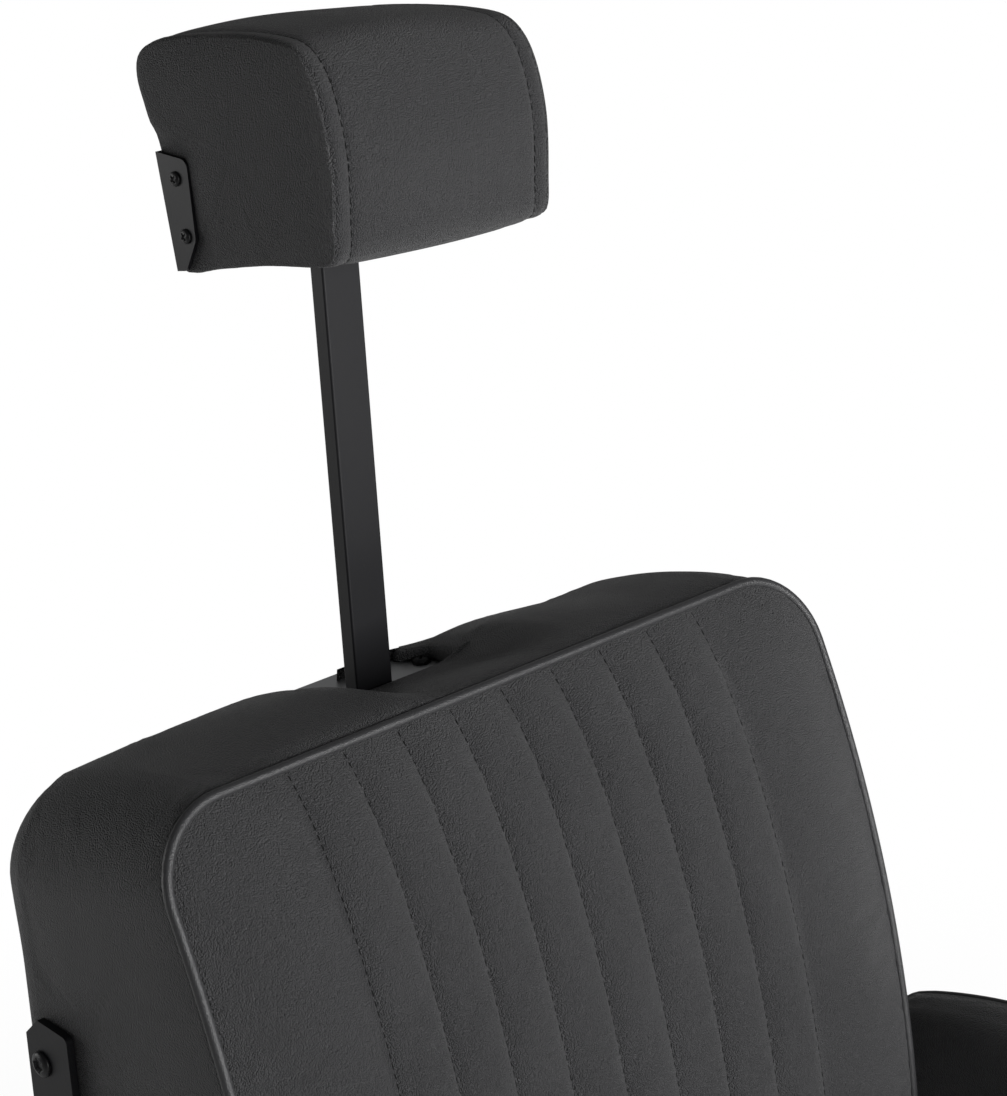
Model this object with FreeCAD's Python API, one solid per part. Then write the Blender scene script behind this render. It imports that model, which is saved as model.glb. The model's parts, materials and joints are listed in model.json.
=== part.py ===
import FreeCAD, Part
import math
import os

# Hydraulic barber chair: round base, pump column, swivelling seat with upholstered side arms,
# reclining channelled back, a headrest on a sliding bar, and a swinging leg rest.
# Frame: +Z up, origin on the floor under the column, the chair faces -Y, sizes in millimetres.

V = FreeCAD.Vector
os.makedirs("parts", exist_ok=True)

# Clearances
FACE_GAP = 0.3
RUNNING_GAP = 0.05
SIDE_PLAY = 0.5

# Fasteners
SCREW_SIDES = 12
FLANGE_BOLT_ACROSS = 17.0
FLANGE_BOLT_HEIGHT = 8.0
SOCKET_BOLT_ACROSS = 16.0
SOCKET_BOLT_HEIGHT = 7.0

# Base and column
BASE_RADIUS = 300.0
BASE_PLATE_T = 8.0
RIM_WALL = 4.0
RIM_HEIGHT = 13.0
RIM_LIP = 10.0
DOME_T = 2.0
DOME_RISE = 40.0
HOUSING_RADIUS = 45.0
HOUSING_TOP = 268.0
HOUSING_FLOOR = 40.0
FLANGE_RADIUS = 82.0
FLANGE_T = 12.0
FLANGE_BOLT_CIRCLE = 64.0
GLAND_HEIGHT = 12.0
RAM_RADIUS = 22.0

# Pump pedal
PUMP_BLOCK_WIDTH = 44.0
PUMP_BLOCK_OUT = 110.0
PUMP_BLOCK_BOTTOM = 68.0
PUMP_BLOCK_TOP = 102.0
PLUNGER_RADIUS = 7.0
PLUNGER_Y = 94.0
PEDAL_PIN_Y = 64.0
PEDAL_PIN_Z = 122.0
PEDAL_PIN_RADIUS = 6.0
PEDAL_REACH = 372.0
PEDAL_ARM_WIDTH = 22.0
PEDAL_ARM_T = 12.0
PEDAL_DROP = 40.0
PLUNGER_STROKE = 7.0
PEDAL_EAR_T = 8.0

# Seat frame
RAIL_SIZE = 30.0
RAIL_WALL = 2.0
RAIL_FRONT = -272.0
RAIL_REAR = 238.0
RAIL_TOP = 385.0
CROSS_FRONT_Y = -185.0
CROSS_REAR_Y = 105.0
SOCKET_PLATE_WIDTH = 200.0
SOCKET_PLATE_T = 8.0
SOCKET_RADIUS = 33.0
SOCKET_DEPTH = 56.0
SOCKET_BOLT_X = 80.0
SHROUD_RADIUS = 55.0
SHROUD_WALL = 1.5
SHROUD_LENGTH = 204.0
BOARD_T = 12.0

# Seat cushion
SEAT_HALF = 274.0
SEAT_FRONT = -300.0
SEAT_REAR = 146.0
SEAT_T = 112.0
SEAT_CROWN = 14.0
SEAT_EDGE_R = 34.0

# Arms
ARM_GAP = 6.0
ARM_INNER = SEAT_HALF + ARM_GAP
ARM_T = 58.0
ARM_PEAK_Y = 43.0
ARM_PEAK_Z = 723.0
ARM_ARCH_R = 457.0
ARM_FRONT = -216.0
ARM_REAR = 246.0
ARM_BOTTOM = 352.0
ARM_CORNER_R = 46.0
ARM_EDGE_R = 9.0
ARM_ROLL_R = 24.0
ARM_BOLT_Y = 130.0
ARM_SPACER_R = 17.0

# Back: its top front seam line and the lean of its front face, from upright
BACK_Y = 280.0
BACK_Z = 1005.0
BACK_HALF = 258.0
BACK_SEAM_HALF = 254.0
BACK_CORNER_R = 50.0
TOP_LEAN = math.radians(28.2)
MID_LEAN = math.radians(9.1)
LOW_LEAN = math.radians(-8.0)
FACE_R_UP = 907.0
FACE_R_LOW = 473.0
BACK_T = 150.0
REAR_CORNER_R = 30.0
TOP_FALL = math.radians(18.0)
TOP_CROWN = 9.0
TOP_REAR_R = 12.0
PIPE_R = 3.25
GROOVE_GAP = 0.15
CHANNELS = 8
CHANNEL_WIDTH = 39.6
CHANNEL_SAG = 4.0
CROWN = 15.0
CROWN_RUN = 35.0

# Headrest bar, its guide sleeve and the plate on top of the back
BAR_LEAN = math.radians(5.2)
BAR_WIDTH = 28.0
BAR_T = 12.0
BAR_BEHIND = 113.2
BAR_SUNK = 47.0
BAR_Y = BACK_Y + BAR_BEHIND
BAR_Z = BACK_Z - BAR_SUNK
BAR_UP = 318.0
BAR_DOWN = 104.0
BAR_CORNER_R = 1.5
BAR_LOWER_TRAVEL = 190.0
SLEEVE_WALL = 2.0
SLEEVE_LENGTH = 96.0
PLATE_WIDTH = 132.0
PLATE_T = 3.0
PLATE_AHEAD = 9.5
PLATE_BEHIND = 41.0
PLATE_SCREW_X = 54.0

# Headrest, in its own side view: forward and up from its lower rear corner
HEAD_TILT = math.radians(13.7)
HEAD_PIVOT_IN = 43.5
HEAD_PIVOT_UP = 36.3
HEAD_SEAM_HALF = 79.5
HEAD_CROWN = 4.0
HEAD_DEPTH = 140.0
HEAD_HEIGHT = 129.3
HEAD_BELLY = 152.0
HEAD_OVERHANG = 12.0
HEAD_PIN_R = 4.0
BRACKET_T = 2.5
BRACKET_HEIGHT = 70.0
BRACKET_DEPTH = 22.0
EAR_T = 4.0
EAR_R = 12.0
HEAD_POCKET_ROOM = 16.0
HEAD_POCKET_REAR = 14.0
HEAD_POCKET_IN = HEAD_PIVOT_IN + HEAD_POCKET_ROOM
HEAD_POCKET_UP = HEAD_PIVOT_UP + HEAD_POCKET_ROOM

# Recline hinge, gas spring and release lever
HINGE_Y = 215.0
HINGE_Z = 440.0
HINGE_PIN_R = 6.0
SIDE_BAR_T = 5.0
SIDE_BAR_WIDTH = 41.0
SIDE_BAR_REAR = 112.0
SIDE_BAR_TOP = 161.0
LUG_T = 6.0
RAIL_OUTER = BACK_HALF + FACE_GAP + SIDE_BAR_T + SIDE_PLAY
HORN_LENGTH = 102.0
HORN_LEAN = math.radians(25.0)
HORN_T = 6.0
GAS_PIN_Y = HINGE_Y + HORN_LENGTH * math.sin(HORN_LEAN)
GAS_PIN_Z = HINGE_Z - HORN_LENGTH * math.cos(HORN_LEAN)
CROSS_BAR_R = 11.0
CROSS_BAR_Y = 300.0
CROSS_BAR_Z = 470.0
GAS_X = -140.0
GAS_RADIUS = 11.0
GAS_BODY_END = 140.0
GAS_ROD_START = -20.0
GAS_ROD_R = 5.0
GAS_PIN_R = 5.0
GAS_EYE_WALL = 4.5
GAS_EYE_HALF = 6.0
RECLINE = math.radians(50.0)
GAS_ARC_SLACK = HORN_LENGTH * (1 - math.cos(RECLINE / 2)) / 2
GAS_LINE_Z = GAS_PIN_Z - GAS_ARC_SLACK
CLEVIS_T = 5.0
LEVER_DROP = 33.0
LEVER_R = 6.0
LEVER_OUT = 352.0
LEVER_IN = 156.0
LEVER_ARM = 130.0
LEVER_BEND = 20.0
LEVER_BRACKET_T = 6.0
KNOB_R = 10.0
KNOB_LENGTH = 58.0

# Leg rest and footplate
LEG_PIVOT_Y = -256.0
LEG_PIVOT_DROP = 17.0
LEG_LEAN = math.radians(24.0)
LEG_LENGTH = 270.0
LEG_BAR_WIDTH = 28.0
LEG_BAR_T = 8.0
LEG_PIN_R = 5.0
LEG_TIE_R = 9.0
LEG_TIE_DOWN = 232.0
CALF_TOP = 52.0
CALF_LENGTH = 150.0
CALF_T = 34.0
CALF_CROWN = 8.0
CALF_MARGIN = 6.0
CALF_ROUND = 36.0
FOOT_DEPTH = 150.0
FOOT_T = 5.0
FOOT_DROP = 12.0
FOOT_RIB_HEIGHT = 4.0
FOOT_RIBS = 8
FOOT_RIB_WIDTH = 5.0
FOOT_CORNER_R = 28.0


def save(name, shape):
    shape.exportStep("parts/" + name + ".step")


def box(x0, x1, y0, y1, z0, z1):
    return Part.makeBox(x1 - x0, y1 - y0, z1 - z0, V(x0, y0, z0))


def rod(radius, start, end):
    return Part.makeCylinder(radius, (end - start).Length, start, end - start)


def rod_x(radius, x0, x1, y, z):
    return rod(radius, V(x0, y, z), V(x1, y, z))


def mirror(shape):
    return shape.mirror(V(0, 0, 0), V(1, 0, 0))


def join(shapes):
    body = shapes[0]
    for shape in shapes[1:]:
        body = body.fuse(shape)
    return body.removeSplitter()


def arc(start, middle, end):
    return Part.Arc(start, middle, end).toShape()


def line(start, end):
    return Part.LineSegment(start, end).toShape()


def rounded_wire(points, radii):
    """Closed outline through the points, each corner rounded to its own radius."""
    edges = []
    ends = []
    count = len(points)
    for i in range(count):
        corner = points[i]
        before = (points[i - 1] - corner).normalize()
        after = (points[(i + 1) % count] - corner).normalize()
        half_angle = before.getAngle(after) / 2
        if radii[i] == 0:
            ends.append((corner, corner, corner))
            continue
        run = radii[i] / math.tan(half_angle)
        bisector = (before + after).normalize()
        middle = corner + bisector * (radii[i] / math.sin(half_angle) - radii[i])
        ends.append((corner + before * run, middle, corner + after * run))
    for i in range(count):
        start, middle, end = ends[i]
        if radii[i] > 0:
            edges.append(arc(start, middle, end))
        edges.append(line(end, ends[(i + 1) % count][0]))
    return Part.Wire(edges)


def plate_x(outline, radii, x0, x1):
    """Plate cut to an outline in the side view, given as (y, z) points."""
    points = [V(x0, y, z) for y, z in outline]
    return Part.Face(rounded_wire(points, radii)).extrude(V(x1 - x0, 0, 0))


def plate_z(outline, radii, z0, z1):
    """Plate cut to an outline in the top view, given as (x, y) points."""
    points = [V(x, y, z0) for x, y in outline]
    return Part.Face(rounded_wire(points, radii)).extrude(V(0, 0, z1 - z0))


def turned(profile):
    """Solid turned about the column axis from (radius, height) points."""
    points = [V(r, 0, z) for r, z in profile]
    face = Part.Face(Part.makePolygon(points + points[:1]))
    return face.revolve(V(0, 0, 0), V(0, 0, 1), 360)


def tilted(shape, lean, y, z):
    """Lean a shape back about a crosswise line through (y, z)."""
    moved = shape.copy()
    moved.rotate(V(0, y, z), V(1, 0, 0), -math.degrees(lean))
    return moved


def hex_bolt(across, height, at, axis):
    """Hexagon head standing on the face at a point."""
    corner = across / math.sqrt(3)
    points = []
    for k in range(6):
        angle = math.radians(60 * k)
        points.append(V(corner * math.cos(angle), corner * math.sin(angle), 0))
    head = Part.Face(Part.makePolygon(points + points[:1])).extrude(V(0, 0, height))
    head.Placement = FreeCAD.Placement(at, FreeCAD.Rotation(V(0, 0, 1), axis))
    return head


def dome_screw(radius, height, at, axis):
    """Low many-sided head with a bevelled crown, standing on the face at a point."""
    rings = []
    for up, reach in ((0, 1), (0.4, 1), (1, 0.6)):
        ring = []
        for k in range(SCREW_SIDES + 1):
            angle = 2 * math.pi * (k % SCREW_SIDES) / SCREW_SIDES
            ring.append(V(radius * reach * math.cos(angle), radius * reach * math.sin(angle), up * height))
        rings.append(Part.makePolygon(ring))
    screw = Part.makeLoft(rings, True, True)
    screw.Placement = FreeCAD.Placement(at, FreeCAD.Rotation(V(0, 0, 1), axis))
    return screw


def tube(outer, wall, path_start, path_end):
    """Square tube along X or Y between two points on its centre line."""
    half = outer / 2
    run = path_end - path_start
    bars = []
    for side in (half, half - wall):
        if abs(run.x) > abs(run.y):
            bars.append(box(path_start.x, path_end.x, path_start.y - side, path_start.y + side,
                            path_start.z - side, path_start.z + side))
        else:
            bars.append(box(path_start.x - side, path_start.x + side, path_start.y, path_end.y,
                            path_start.z - side, path_start.z + side))
    return bars[0].cut(bars[1])


# Base: a heavy round plate, a spun dome over it and a rubber rim round the edge
def base_pieces():
    plate = Part.makeCylinder(BASE_RADIUS, BASE_PLATE_T)
    rims = [e for e in plate.Edges if abs(e.Length - 2 * math.pi * BASE_RADIUS) < 1]
    plate = plate.makeChamfer(1.0, rims)
    save("base_plate", plate)

    inner = BASE_RADIUS + FACE_GAP
    outer = inner + RIM_WALL
    lip = BASE_PLATE_T + FACE_GAP
    rim = turned([(inner, 0), (outer, 0), (outer, RIM_HEIGHT - 3), (outer - 3, RIM_HEIGHT),
                  (BASE_RADIUS - RIM_LIP, RIM_HEIGHT), (BASE_RADIUS - RIM_LIP, lip), (inner, lip)])
    save("base_rim", rim)

    edge = BASE_RADIUS - RIM_LIP - FACE_GAP
    mouth = HOUSING_RADIUS + 9
    low = BASE_PLATE_T
    top = low + DOME_RISE
    wall = 6.0
    shoulder = 165.0
    crest = V((edge + shoulder) / 2 + 12, 0, (low + top) / 2 + 1)

    def skin(inset):
        foot = V(edge - inset, 0, low)
        brow = V(edge - inset, 0, low + wall)
        neck = V(shoulder, 0, top - 9 - inset)
        lip = V(mouth, 0, top - inset)
        middle = crest - V(inset / 2, 0, inset)
        return [line(foot, brow), arc(brow, middle, neck), line(neck, lip)], foot, lip

    outside, foot_out, lip_out = skin(0)
    inside, foot_in, lip_in = skin(DOME_T)
    loop = outside + [line(lip_out, lip_in)] + inside[::-1] + [line(foot_in, foot_out)]
    save("base_dome", Part.Face(Part.Wire(loop)).revolve(V(0, 0, 0), V(0, 0, 1), 360))

    ring_in = HOUSING_RADIUS + FACE_GAP
    collar = turned([(ring_in, top + FACE_GAP), (mouth + 7, top + FACE_GAP), (mouth + 7, top + 4),
                     (ring_in + 7, top + 16), (ring_in, top + 16)])
    save("dome_collar", collar)


# Pump column: a flanged housing with a plain bore for the ram, bolted to the plate
def column_pieces():
    bore = RAM_RADIUS + RUNNING_GAP
    face = BASE_PLATE_T + FLANGE_T
    housing = turned([(0, BASE_PLATE_T), (FLANGE_RADIUS, BASE_PLATE_T), (FLANGE_RADIUS, face),
                      (HOUSING_RADIUS + 6, face), (HOUSING_RADIUS, face + 6), (HOUSING_RADIUS, HOUSING_TOP),
                      (bore, HOUSING_TOP), (bore, HOUSING_FLOOR), (0, HOUSING_FLOOR)])
    save("pump_housing", housing)

    bolts = []
    for k in range(4):
        angle = math.radians(45 + 90 * k)
        at = V(FLANGE_BOLT_CIRCLE * math.cos(angle), FLANGE_BOLT_CIRCLE * math.sin(angle), face)
        bolts.append(hex_bolt(FLANGE_BOLT_ACROSS, FLANGE_BOLT_HEIGHT, at, V(0, 0, 1)))
    save("flange_bolts", Part.makeCompound(bolts))

    gland = turned([(bore, HOUSING_TOP), (HOUSING_RADIUS, HOUSING_TOP),
                    (HOUSING_RADIUS, HOUSING_TOP + GLAND_HEIGHT - 4),
                    (HOUSING_RADIUS - 4, HOUSING_TOP + GLAND_HEIGHT), (bore, HOUSING_TOP + GLAND_HEIGHT)])
    save("gland_cap", gland)

    ram_bottom = HOUSING_FLOOR + 3
    ram_top = RAIL_TOP - RAIL_SIZE - SOCKET_PLATE_T - FACE_GAP
    ram = Part.makeCylinder(RAM_RADIUS, ram_top - ram_bottom, V(0, 0, ram_bottom))
    save("ram", ram)


# Foot pump: a valve block on the housing, a pedal lever on a pin, and the small plunger it presses
def pedal_pieces():
    half = PUMP_BLOCK_WIDTH / 2
    block = box(-half, half, 0, PUMP_BLOCK_OUT, PUMP_BLOCK_BOTTOM, PUMP_BLOCK_TOP)
    arm_gap = PEDAL_ARM_WIDTH / 2 + SIDE_PLAY
    boss = PEDAL_PIN_RADIUS + 7
    ear_outline = [(PEDAL_PIN_Y - boss, PUMP_BLOCK_TOP - 4), (PEDAL_PIN_Y + boss + 5, PUMP_BLOCK_TOP - 4),
                   (PEDAL_PIN_Y + boss, PEDAL_PIN_Z + boss), (PEDAL_PIN_Y - boss, PEDAL_PIN_Z + boss)]
    ears = []
    for side in (-1, 1):
        x0 = min(side * arm_gap, side * (arm_gap + PEDAL_EAR_T))
        ears.append(plate_x(ear_outline, [0, 0, boss - 1, boss - 1], x0, x0 + PEDAL_EAR_T))
    bevel = 6.0
    wedge = [(PUMP_BLOCK_OUT - bevel, PUMP_BLOCK_TOP), (PUMP_BLOCK_OUT + 1, PUMP_BLOCK_TOP - bevel - 1),
             (PUMP_BLOCK_OUT + 1, PUMP_BLOCK_TOP + 1), (PUMP_BLOCK_OUT - bevel, PUMP_BLOCK_TOP + 1)]
    block = join([block] + ears).cut(plate_x(wedge, [0, 0, 0, 0], -half, half))
    block = block.cut(Part.makeCylinder(HOUSING_RADIUS, 200))
    block = block.cut(rod_x(PEDAL_PIN_RADIUS, -40, 40, PEDAL_PIN_Y, PEDAL_PIN_Z))
    well = PLUNGER_RADIUS + RUNNING_GAP
    floor = PUMP_BLOCK_BOTTOM + 6
    block = block.cut(Part.makeCylinder(well, 60, V(0, PLUNGER_Y, floor)))
    save("pump_block", block)

    reach = arm_gap + PEDAL_EAR_T + 3
    save("pedal_pin", rod_x(PEDAL_PIN_RADIUS, -reach, reach, PEDAL_PIN_Y, PEDAL_PIN_Z))

    arm_half = PEDAL_ARM_WIDTH / 2
    low = PEDAL_PIN_Z - PEDAL_DROP
    thick = PEDAL_ARM_T
    under = PEDAL_PIN_Z - 10
    bend = PLUNGER_Y + 64
    side_view = [(PEDAL_PIN_Y - 12, PEDAL_PIN_Z + 10), (PEDAL_PIN_Y - 12, under), (PLUNGER_Y + 26, under),
                 (bend, low - thick / 2), (PEDAL_REACH, low - thick / 2), (PEDAL_REACH, low + thick / 2),
                 (bend + 8, low + thick / 2), (PLUNGER_Y + 20, PEDAL_PIN_Z + 10)]
    arm = plate_x(side_view, [8, 5, 14, 20, 4, 4, 20, 14], -arm_half, arm_half)
    arm = arm.cut(rod_x(PEDAL_PIN_RADIUS + RUNNING_GAP, -40, 40, PEDAL_PIN_Y, PEDAL_PIN_Z))
    save("pedal_arm", arm)

    pad_back = PEDAL_REACH - 92
    pad_low = low + thick / 2
    outline = [(-38, pad_back), (38, pad_back), (38, PEDAL_REACH + 4), (-38, PEDAL_REACH + 4)]
    pad = plate_z(outline, [14, 14, 14, 14], pad_low, pad_low + 9)
    for k in range(6):
        groove_y = pad_back + 11 + k * 13.5
        pad = pad.cut(box(-40, 40, groove_y, groove_y + 4, pad_low + 6.5, pad_low + 12))
    save("pedal_pad", pad)

    plunger_low = floor + PLUNGER_STROKE + 1
    plunger_top = under - FACE_GAP
    dome_centre = plunger_top - PLUNGER_RADIUS
    profile = [(0, plunger_low), (PLUNGER_RADIUS, plunger_low)]
    for k in range(4):
        turn = math.radians(22.5 * k)
        profile.append((PLUNGER_RADIUS * math.cos(turn), dome_centre + PLUNGER_RADIUS * math.sin(turn)))
    plunger = turned(profile + [(0, plunger_top)])
    plunger.translate(V(0, PLUNGER_Y, 0))
    save("pump_plunger", plunger)


def cross_tube(end, y, z):
    return tube(RAIL_SIZE, RAIL_WALL, V(-end, y, z), V(end, y, z))


def hung_cheek(x0, thick, z, low_r, hole):
    """Round-ended cheek welded under the front cross tube, bored for a pin."""
    y = CROSS_FRONT_Y
    rail_low = RAIL_TOP - RAIL_SIZE
    cheek = plate_x([(y - low_r - 1, z - low_r), (y + low_r + 1, z - low_r), (y + low_r + 1, rail_low),
                     (y - low_r - 1, rail_low)], [low_r, low_r, 0, 0], x0, x0 + thick)
    return cheek.cut(rod_x(hole, x0 - 1, x0 + thick + 1, y, z))


def gas_clevis():
    inner = GAS_EYE_HALF + FACE_GAP
    left = hung_cheek(GAS_X - inner - CLEVIS_T, CLEVIS_T, GAS_LINE_Z, 12, GAS_PIN_R)
    right = hung_cheek(GAS_X + inner, CLEVIS_T, GAS_LINE_Z, 12, GAS_PIN_R)
    return [left, right]


def lever_brackets():
    z = RAIL_TOP - RAIL_SIZE - LEVER_DROP
    cheeks = []
    for x in (LEVER_IN + 9, RAIL_OUTER - RAIL_SIZE - 14):
        cheeks.append(hung_cheek(-x, LEVER_BRACKET_T, z, 12, LEVER_R + RUNNING_GAP))
    return cheeks


# Seat frame: a socket plate bolted under two cross tubes between two side rails
def seat_frame_pieces():
    rail_low = RAIL_TOP - RAIL_SIZE
    rail_mid = RAIL_TOP - RAIL_SIZE / 2
    rail_x = RAIL_OUTER - RAIL_SIZE / 2
    rail = tube(RAIL_SIZE, RAIL_WALL, V(rail_x, RAIL_FRONT, rail_mid), V(rail_x, RAIL_REAR, rail_mid))
    rail = rail.cut(rod_x(LEG_PIN_R, 200, 300, LEG_PIVOT_Y, RAIL_TOP - LEG_PIVOT_DROP))
    save("seat_rail_left", rail)
    save("seat_rail_right", mirror(rail))
    cross_end = RAIL_OUTER - RAIL_SIZE
    save("seat_cross_rear", cross_tube(cross_end, CROSS_REAR_Y, rail_mid))
    cheeks = gas_clevis() + lever_brackets()
    save("seat_cross_front", join([cross_tube(cross_end, CROSS_FRONT_Y, rail_mid)] + cheeks))

    half = SOCKET_PLATE_WIDTH / 2
    front = CROSS_FRONT_Y - RAIL_SIZE / 2
    rear = CROSS_REAR_Y + RAIL_SIZE / 2
    plate_low = rail_low - SOCKET_PLATE_T
    outline = [(-half, front), (half, front), (half, rear), (-half, rear)]
    plate = plate_z(outline, [18, 18, 18, 18], plate_low, rail_low)
    hub_low = plate_low - SOCKET_DEPTH
    hub = Part.makeCylinder(SOCKET_RADIUS, SOCKET_DEPTH, V(0, 0, hub_low))
    webs = []
    for angle in (0, 90, 180, 270):
        web = Part.Face(Part.makePolygon([V(SOCKET_RADIUS - 3, 0, plate_low), V(51, 0, plate_low),
                                          V(51, 0, plate_low - 10), V(SOCKET_RADIUS - 3, 0, hub_low + 10),
                                          V(SOCKET_RADIUS - 3, 0, plate_low)]))
        web = web.extrude(V(0, 6, 0))
        web.translate(V(0, -3, 0))
        web.rotate(V(0, 0, 0), V(0, 0, 1), angle)
        webs.append(web)
    socket = join([plate, hub] + webs)
    socket = socket.cut(Part.makeCylinder(RAM_RADIUS + RUNNING_GAP, SOCKET_DEPTH + 1, V(0, 0, hub_low - 1)))
    save("seat_socket", socket)

    bolts = []
    for x in (-SOCKET_BOLT_X, SOCKET_BOLT_X):
        for y in (CROSS_FRONT_Y, CROSS_REAR_Y):
            at = V(x, y, plate_low)
            bolts.append(hex_bolt(SOCKET_BOLT_ACROSS, SOCKET_BOLT_HEIGHT, at, V(0, 0, -1)))
    save("socket_bolts", Part.makeCompound(bolts))

    shroud_low = plate_low - SHROUD_LENGTH
    shroud = turned([(SHROUD_RADIUS - SHROUD_WALL, shroud_low), (SHROUD_RADIUS, shroud_low),
                     (SHROUD_RADIUS, plate_low), (SHROUD_RADIUS - SHROUD_WALL, plate_low)])
    save("column_shroud", shroud)

    board_half = SEAT_HALF - 18
    board_front = RAIL_FRONT - 12
    board_rear = SEAT_REAR - 4
    board = plate_z([(-board_half, board_front), (board_half, board_front), (board_half, board_rear),
                     (-board_half, board_rear)], [12, 12, 12, 12], RAIL_TOP, RAIL_TOP + BOARD_T)
    save("seat_board", board)


def channel_edges(place, seam_half, edge_half, rise):
    """Padded front of a cushion across its width: a plain side, the channels and a plain side.

    place maps (across, outwards) to a point, and rise is how far the channel seams stand out."""
    count = CHANNELS
    width = 2 * seam_half / count
    sag = CHANNEL_SAG * max(rise / CROWN, 0.12)
    edges = []
    side_mid = (edge_half + seam_half) / 2
    side_rise = rise * 0.66 + 0.35
    edges.append(arc(place(-edge_half, 0), place(-side_mid, side_rise), place(-seam_half, rise)))
    for k in range(count):
        a = -seam_half + k * width
        edges.append(arc(place(a, rise), place(a + width / 2, rise + sag), place(a + width, rise)))
    edges.append(arc(place(seam_half, rise), place(side_mid, side_rise), place(edge_half, 0)))
    return edges


# Seat cushion: crowned top with the same channels as the back, rounded front edge, piped rim
def seat_cushion_pieces():
    low = RAIL_TOP + BOARD_T + FACE_GAP
    rim = low + SEAT_T - SEAT_CROWN
    inset = 3.0
    seam_half = CHANNELS * CHANNEL_WIDTH / 2
    stations = []
    length = SEAT_REAR - SEAT_FRONT
    for share in (-0.03, 0.0, 0.04, 0.12, 0.3, 0.5, 0.7, 0.88, 0.96, 1.0, 1.03):
        y = SEAT_FRONT + share * length
        reach = max(min(share, 1 - share), 0) * length
        rise = 0.8 + (SEAT_CROWN - 0.8) * (1 - math.exp(-reach / CROWN_RUN))

        def place(across, out):
            return V(across, y, rim + out)

        edges = channel_edges(place, seam_half, SEAT_HALF - inset, rise)
        edges.append(line(V(SEAT_HALF - inset, y, rim), V(SEAT_HALF, y, rim - inset)))
        edges.append(line(V(SEAT_HALF, y, rim - inset), V(SEAT_HALF, y, low)))
        edges.append(line(V(SEAT_HALF, y, low), V(-SEAT_HALF, y, low)))
        edges.append(line(V(-SEAT_HALF, y, low), V(-SEAT_HALF, y, rim - inset)))
        edges.append(line(V(-SEAT_HALF, y, rim - inset), V(-SEAT_HALF + inset, y, rim)))
        stations.append(Part.Wire(edges))
    cushion = Part.makeLoft(stations, True, True)

    high = rim + 3 * SEAT_CROWN
    front = SEAT_FRONT - 1
    rear = SEAT_REAR + 1
    profile = plate_x([(front, low), (rear, low), (rear, high), (front, high)], [16, 10, 0, 0],
                      -SEAT_HALF - 50, SEAT_HALF + 50)
    plan = plate_z([(-SEAT_HALF, SEAT_FRONT), (SEAT_HALF, SEAT_FRONT), (SEAT_HALF, SEAT_REAR),
                    (-SEAT_HALF, SEAT_REAR)], [SEAT_EDGE_R] * 4, low - 5, high + 5)
    cushion = cushion.common(profile).common(plan)

    half = SEAT_HALF - inset
    front = SEAT_FRONT + inset
    rear = SEAT_REAR - inset
    loop = rounded_wire([V(-half, front, rim), V(half, front, rim), V(half, rear, rim), V(-half, rear, rim)],
                        [SEAT_EDGE_R - inset] * 4)
    save("seat_cushion", cushion.cut(sweep_cord(loop, PIPE_R + GROOVE_GAP)))
    save("seat_piping", sweep_cord(loop, PIPE_R))


def sweep_cord(wire, radius):
    """Eight-sided cord along a closed wire of lines and arcs that run smoothly into each other."""
    edges = wire.Edges
    pieces = []
    for i, edge in enumerate(edges):
        following = edges[i:] + edges[:i]
        bends = [e for e in following if hasattr(e.Curve, "Axis")]
        straight = bends[0] is not edge
        normal = bends[0].Curve.Axis
        start = edge.valueAt(edge.FirstParameter)
        way = edge.tangentAt(edge.FirstParameter)
        across = way.cross(normal).normalize()
        corners = []
        for k in range(8):
            angle = math.radians(22.5 + 45 * k)
            reach = radius / math.cos(math.radians(22.5))
            corners.append(start + normal * (reach * math.cos(angle)) + across * (reach * math.sin(angle)))
        section = Part.Face(Part.makePolygon(corners + corners[:1]))
        if straight:
            pieces.append(section.extrude(edge.valueAt(edge.LastParameter) - start))
        else:
            turn = math.degrees(edge.LastParameter - edge.FirstParameter)
            pieces.append(section.revolve(edge.Curve.Center, normal, turn))
    return join(pieces)


# Arms: padded side panels with an arched top, the inner edge rolled, the outer edge piped
def arm_wire(x, inset):
    front = ARM_FRONT + inset
    rear = ARM_REAR - inset
    low = ARM_BOTTOM + inset
    peak = ARM_PEAK_Z - inset
    radius = ARM_ARCH_R - inset

    def top(y):
        return peak - radius + math.sqrt(radius ** 2 - (y - ARM_PEAK_Y) ** 2)

    corner = ARM_CORNER_R - inset
    blank = Part.Face(Part.Wire([
        line(V(x, front, low), V(x, rear, low)),
        line(V(x, rear, low), V(x, rear, top(rear))),
        arc(V(x, rear, top(rear)), V(x, ARM_PEAK_Y, peak), V(x, front, top(front))),
        line(V(x, front, top(front)), V(x, front, low)),
    ])).extrude(V(10, 0, 0))
    across = [edge for edge in blank.Edges if edge.BoundBox.XLength > 5]
    rounded = blank.makeFillet(corner, across)
    for face in rounded.Faces:
        if face.BoundBox.XMax < x + 1e-3:
            return face.OuterWire


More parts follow.
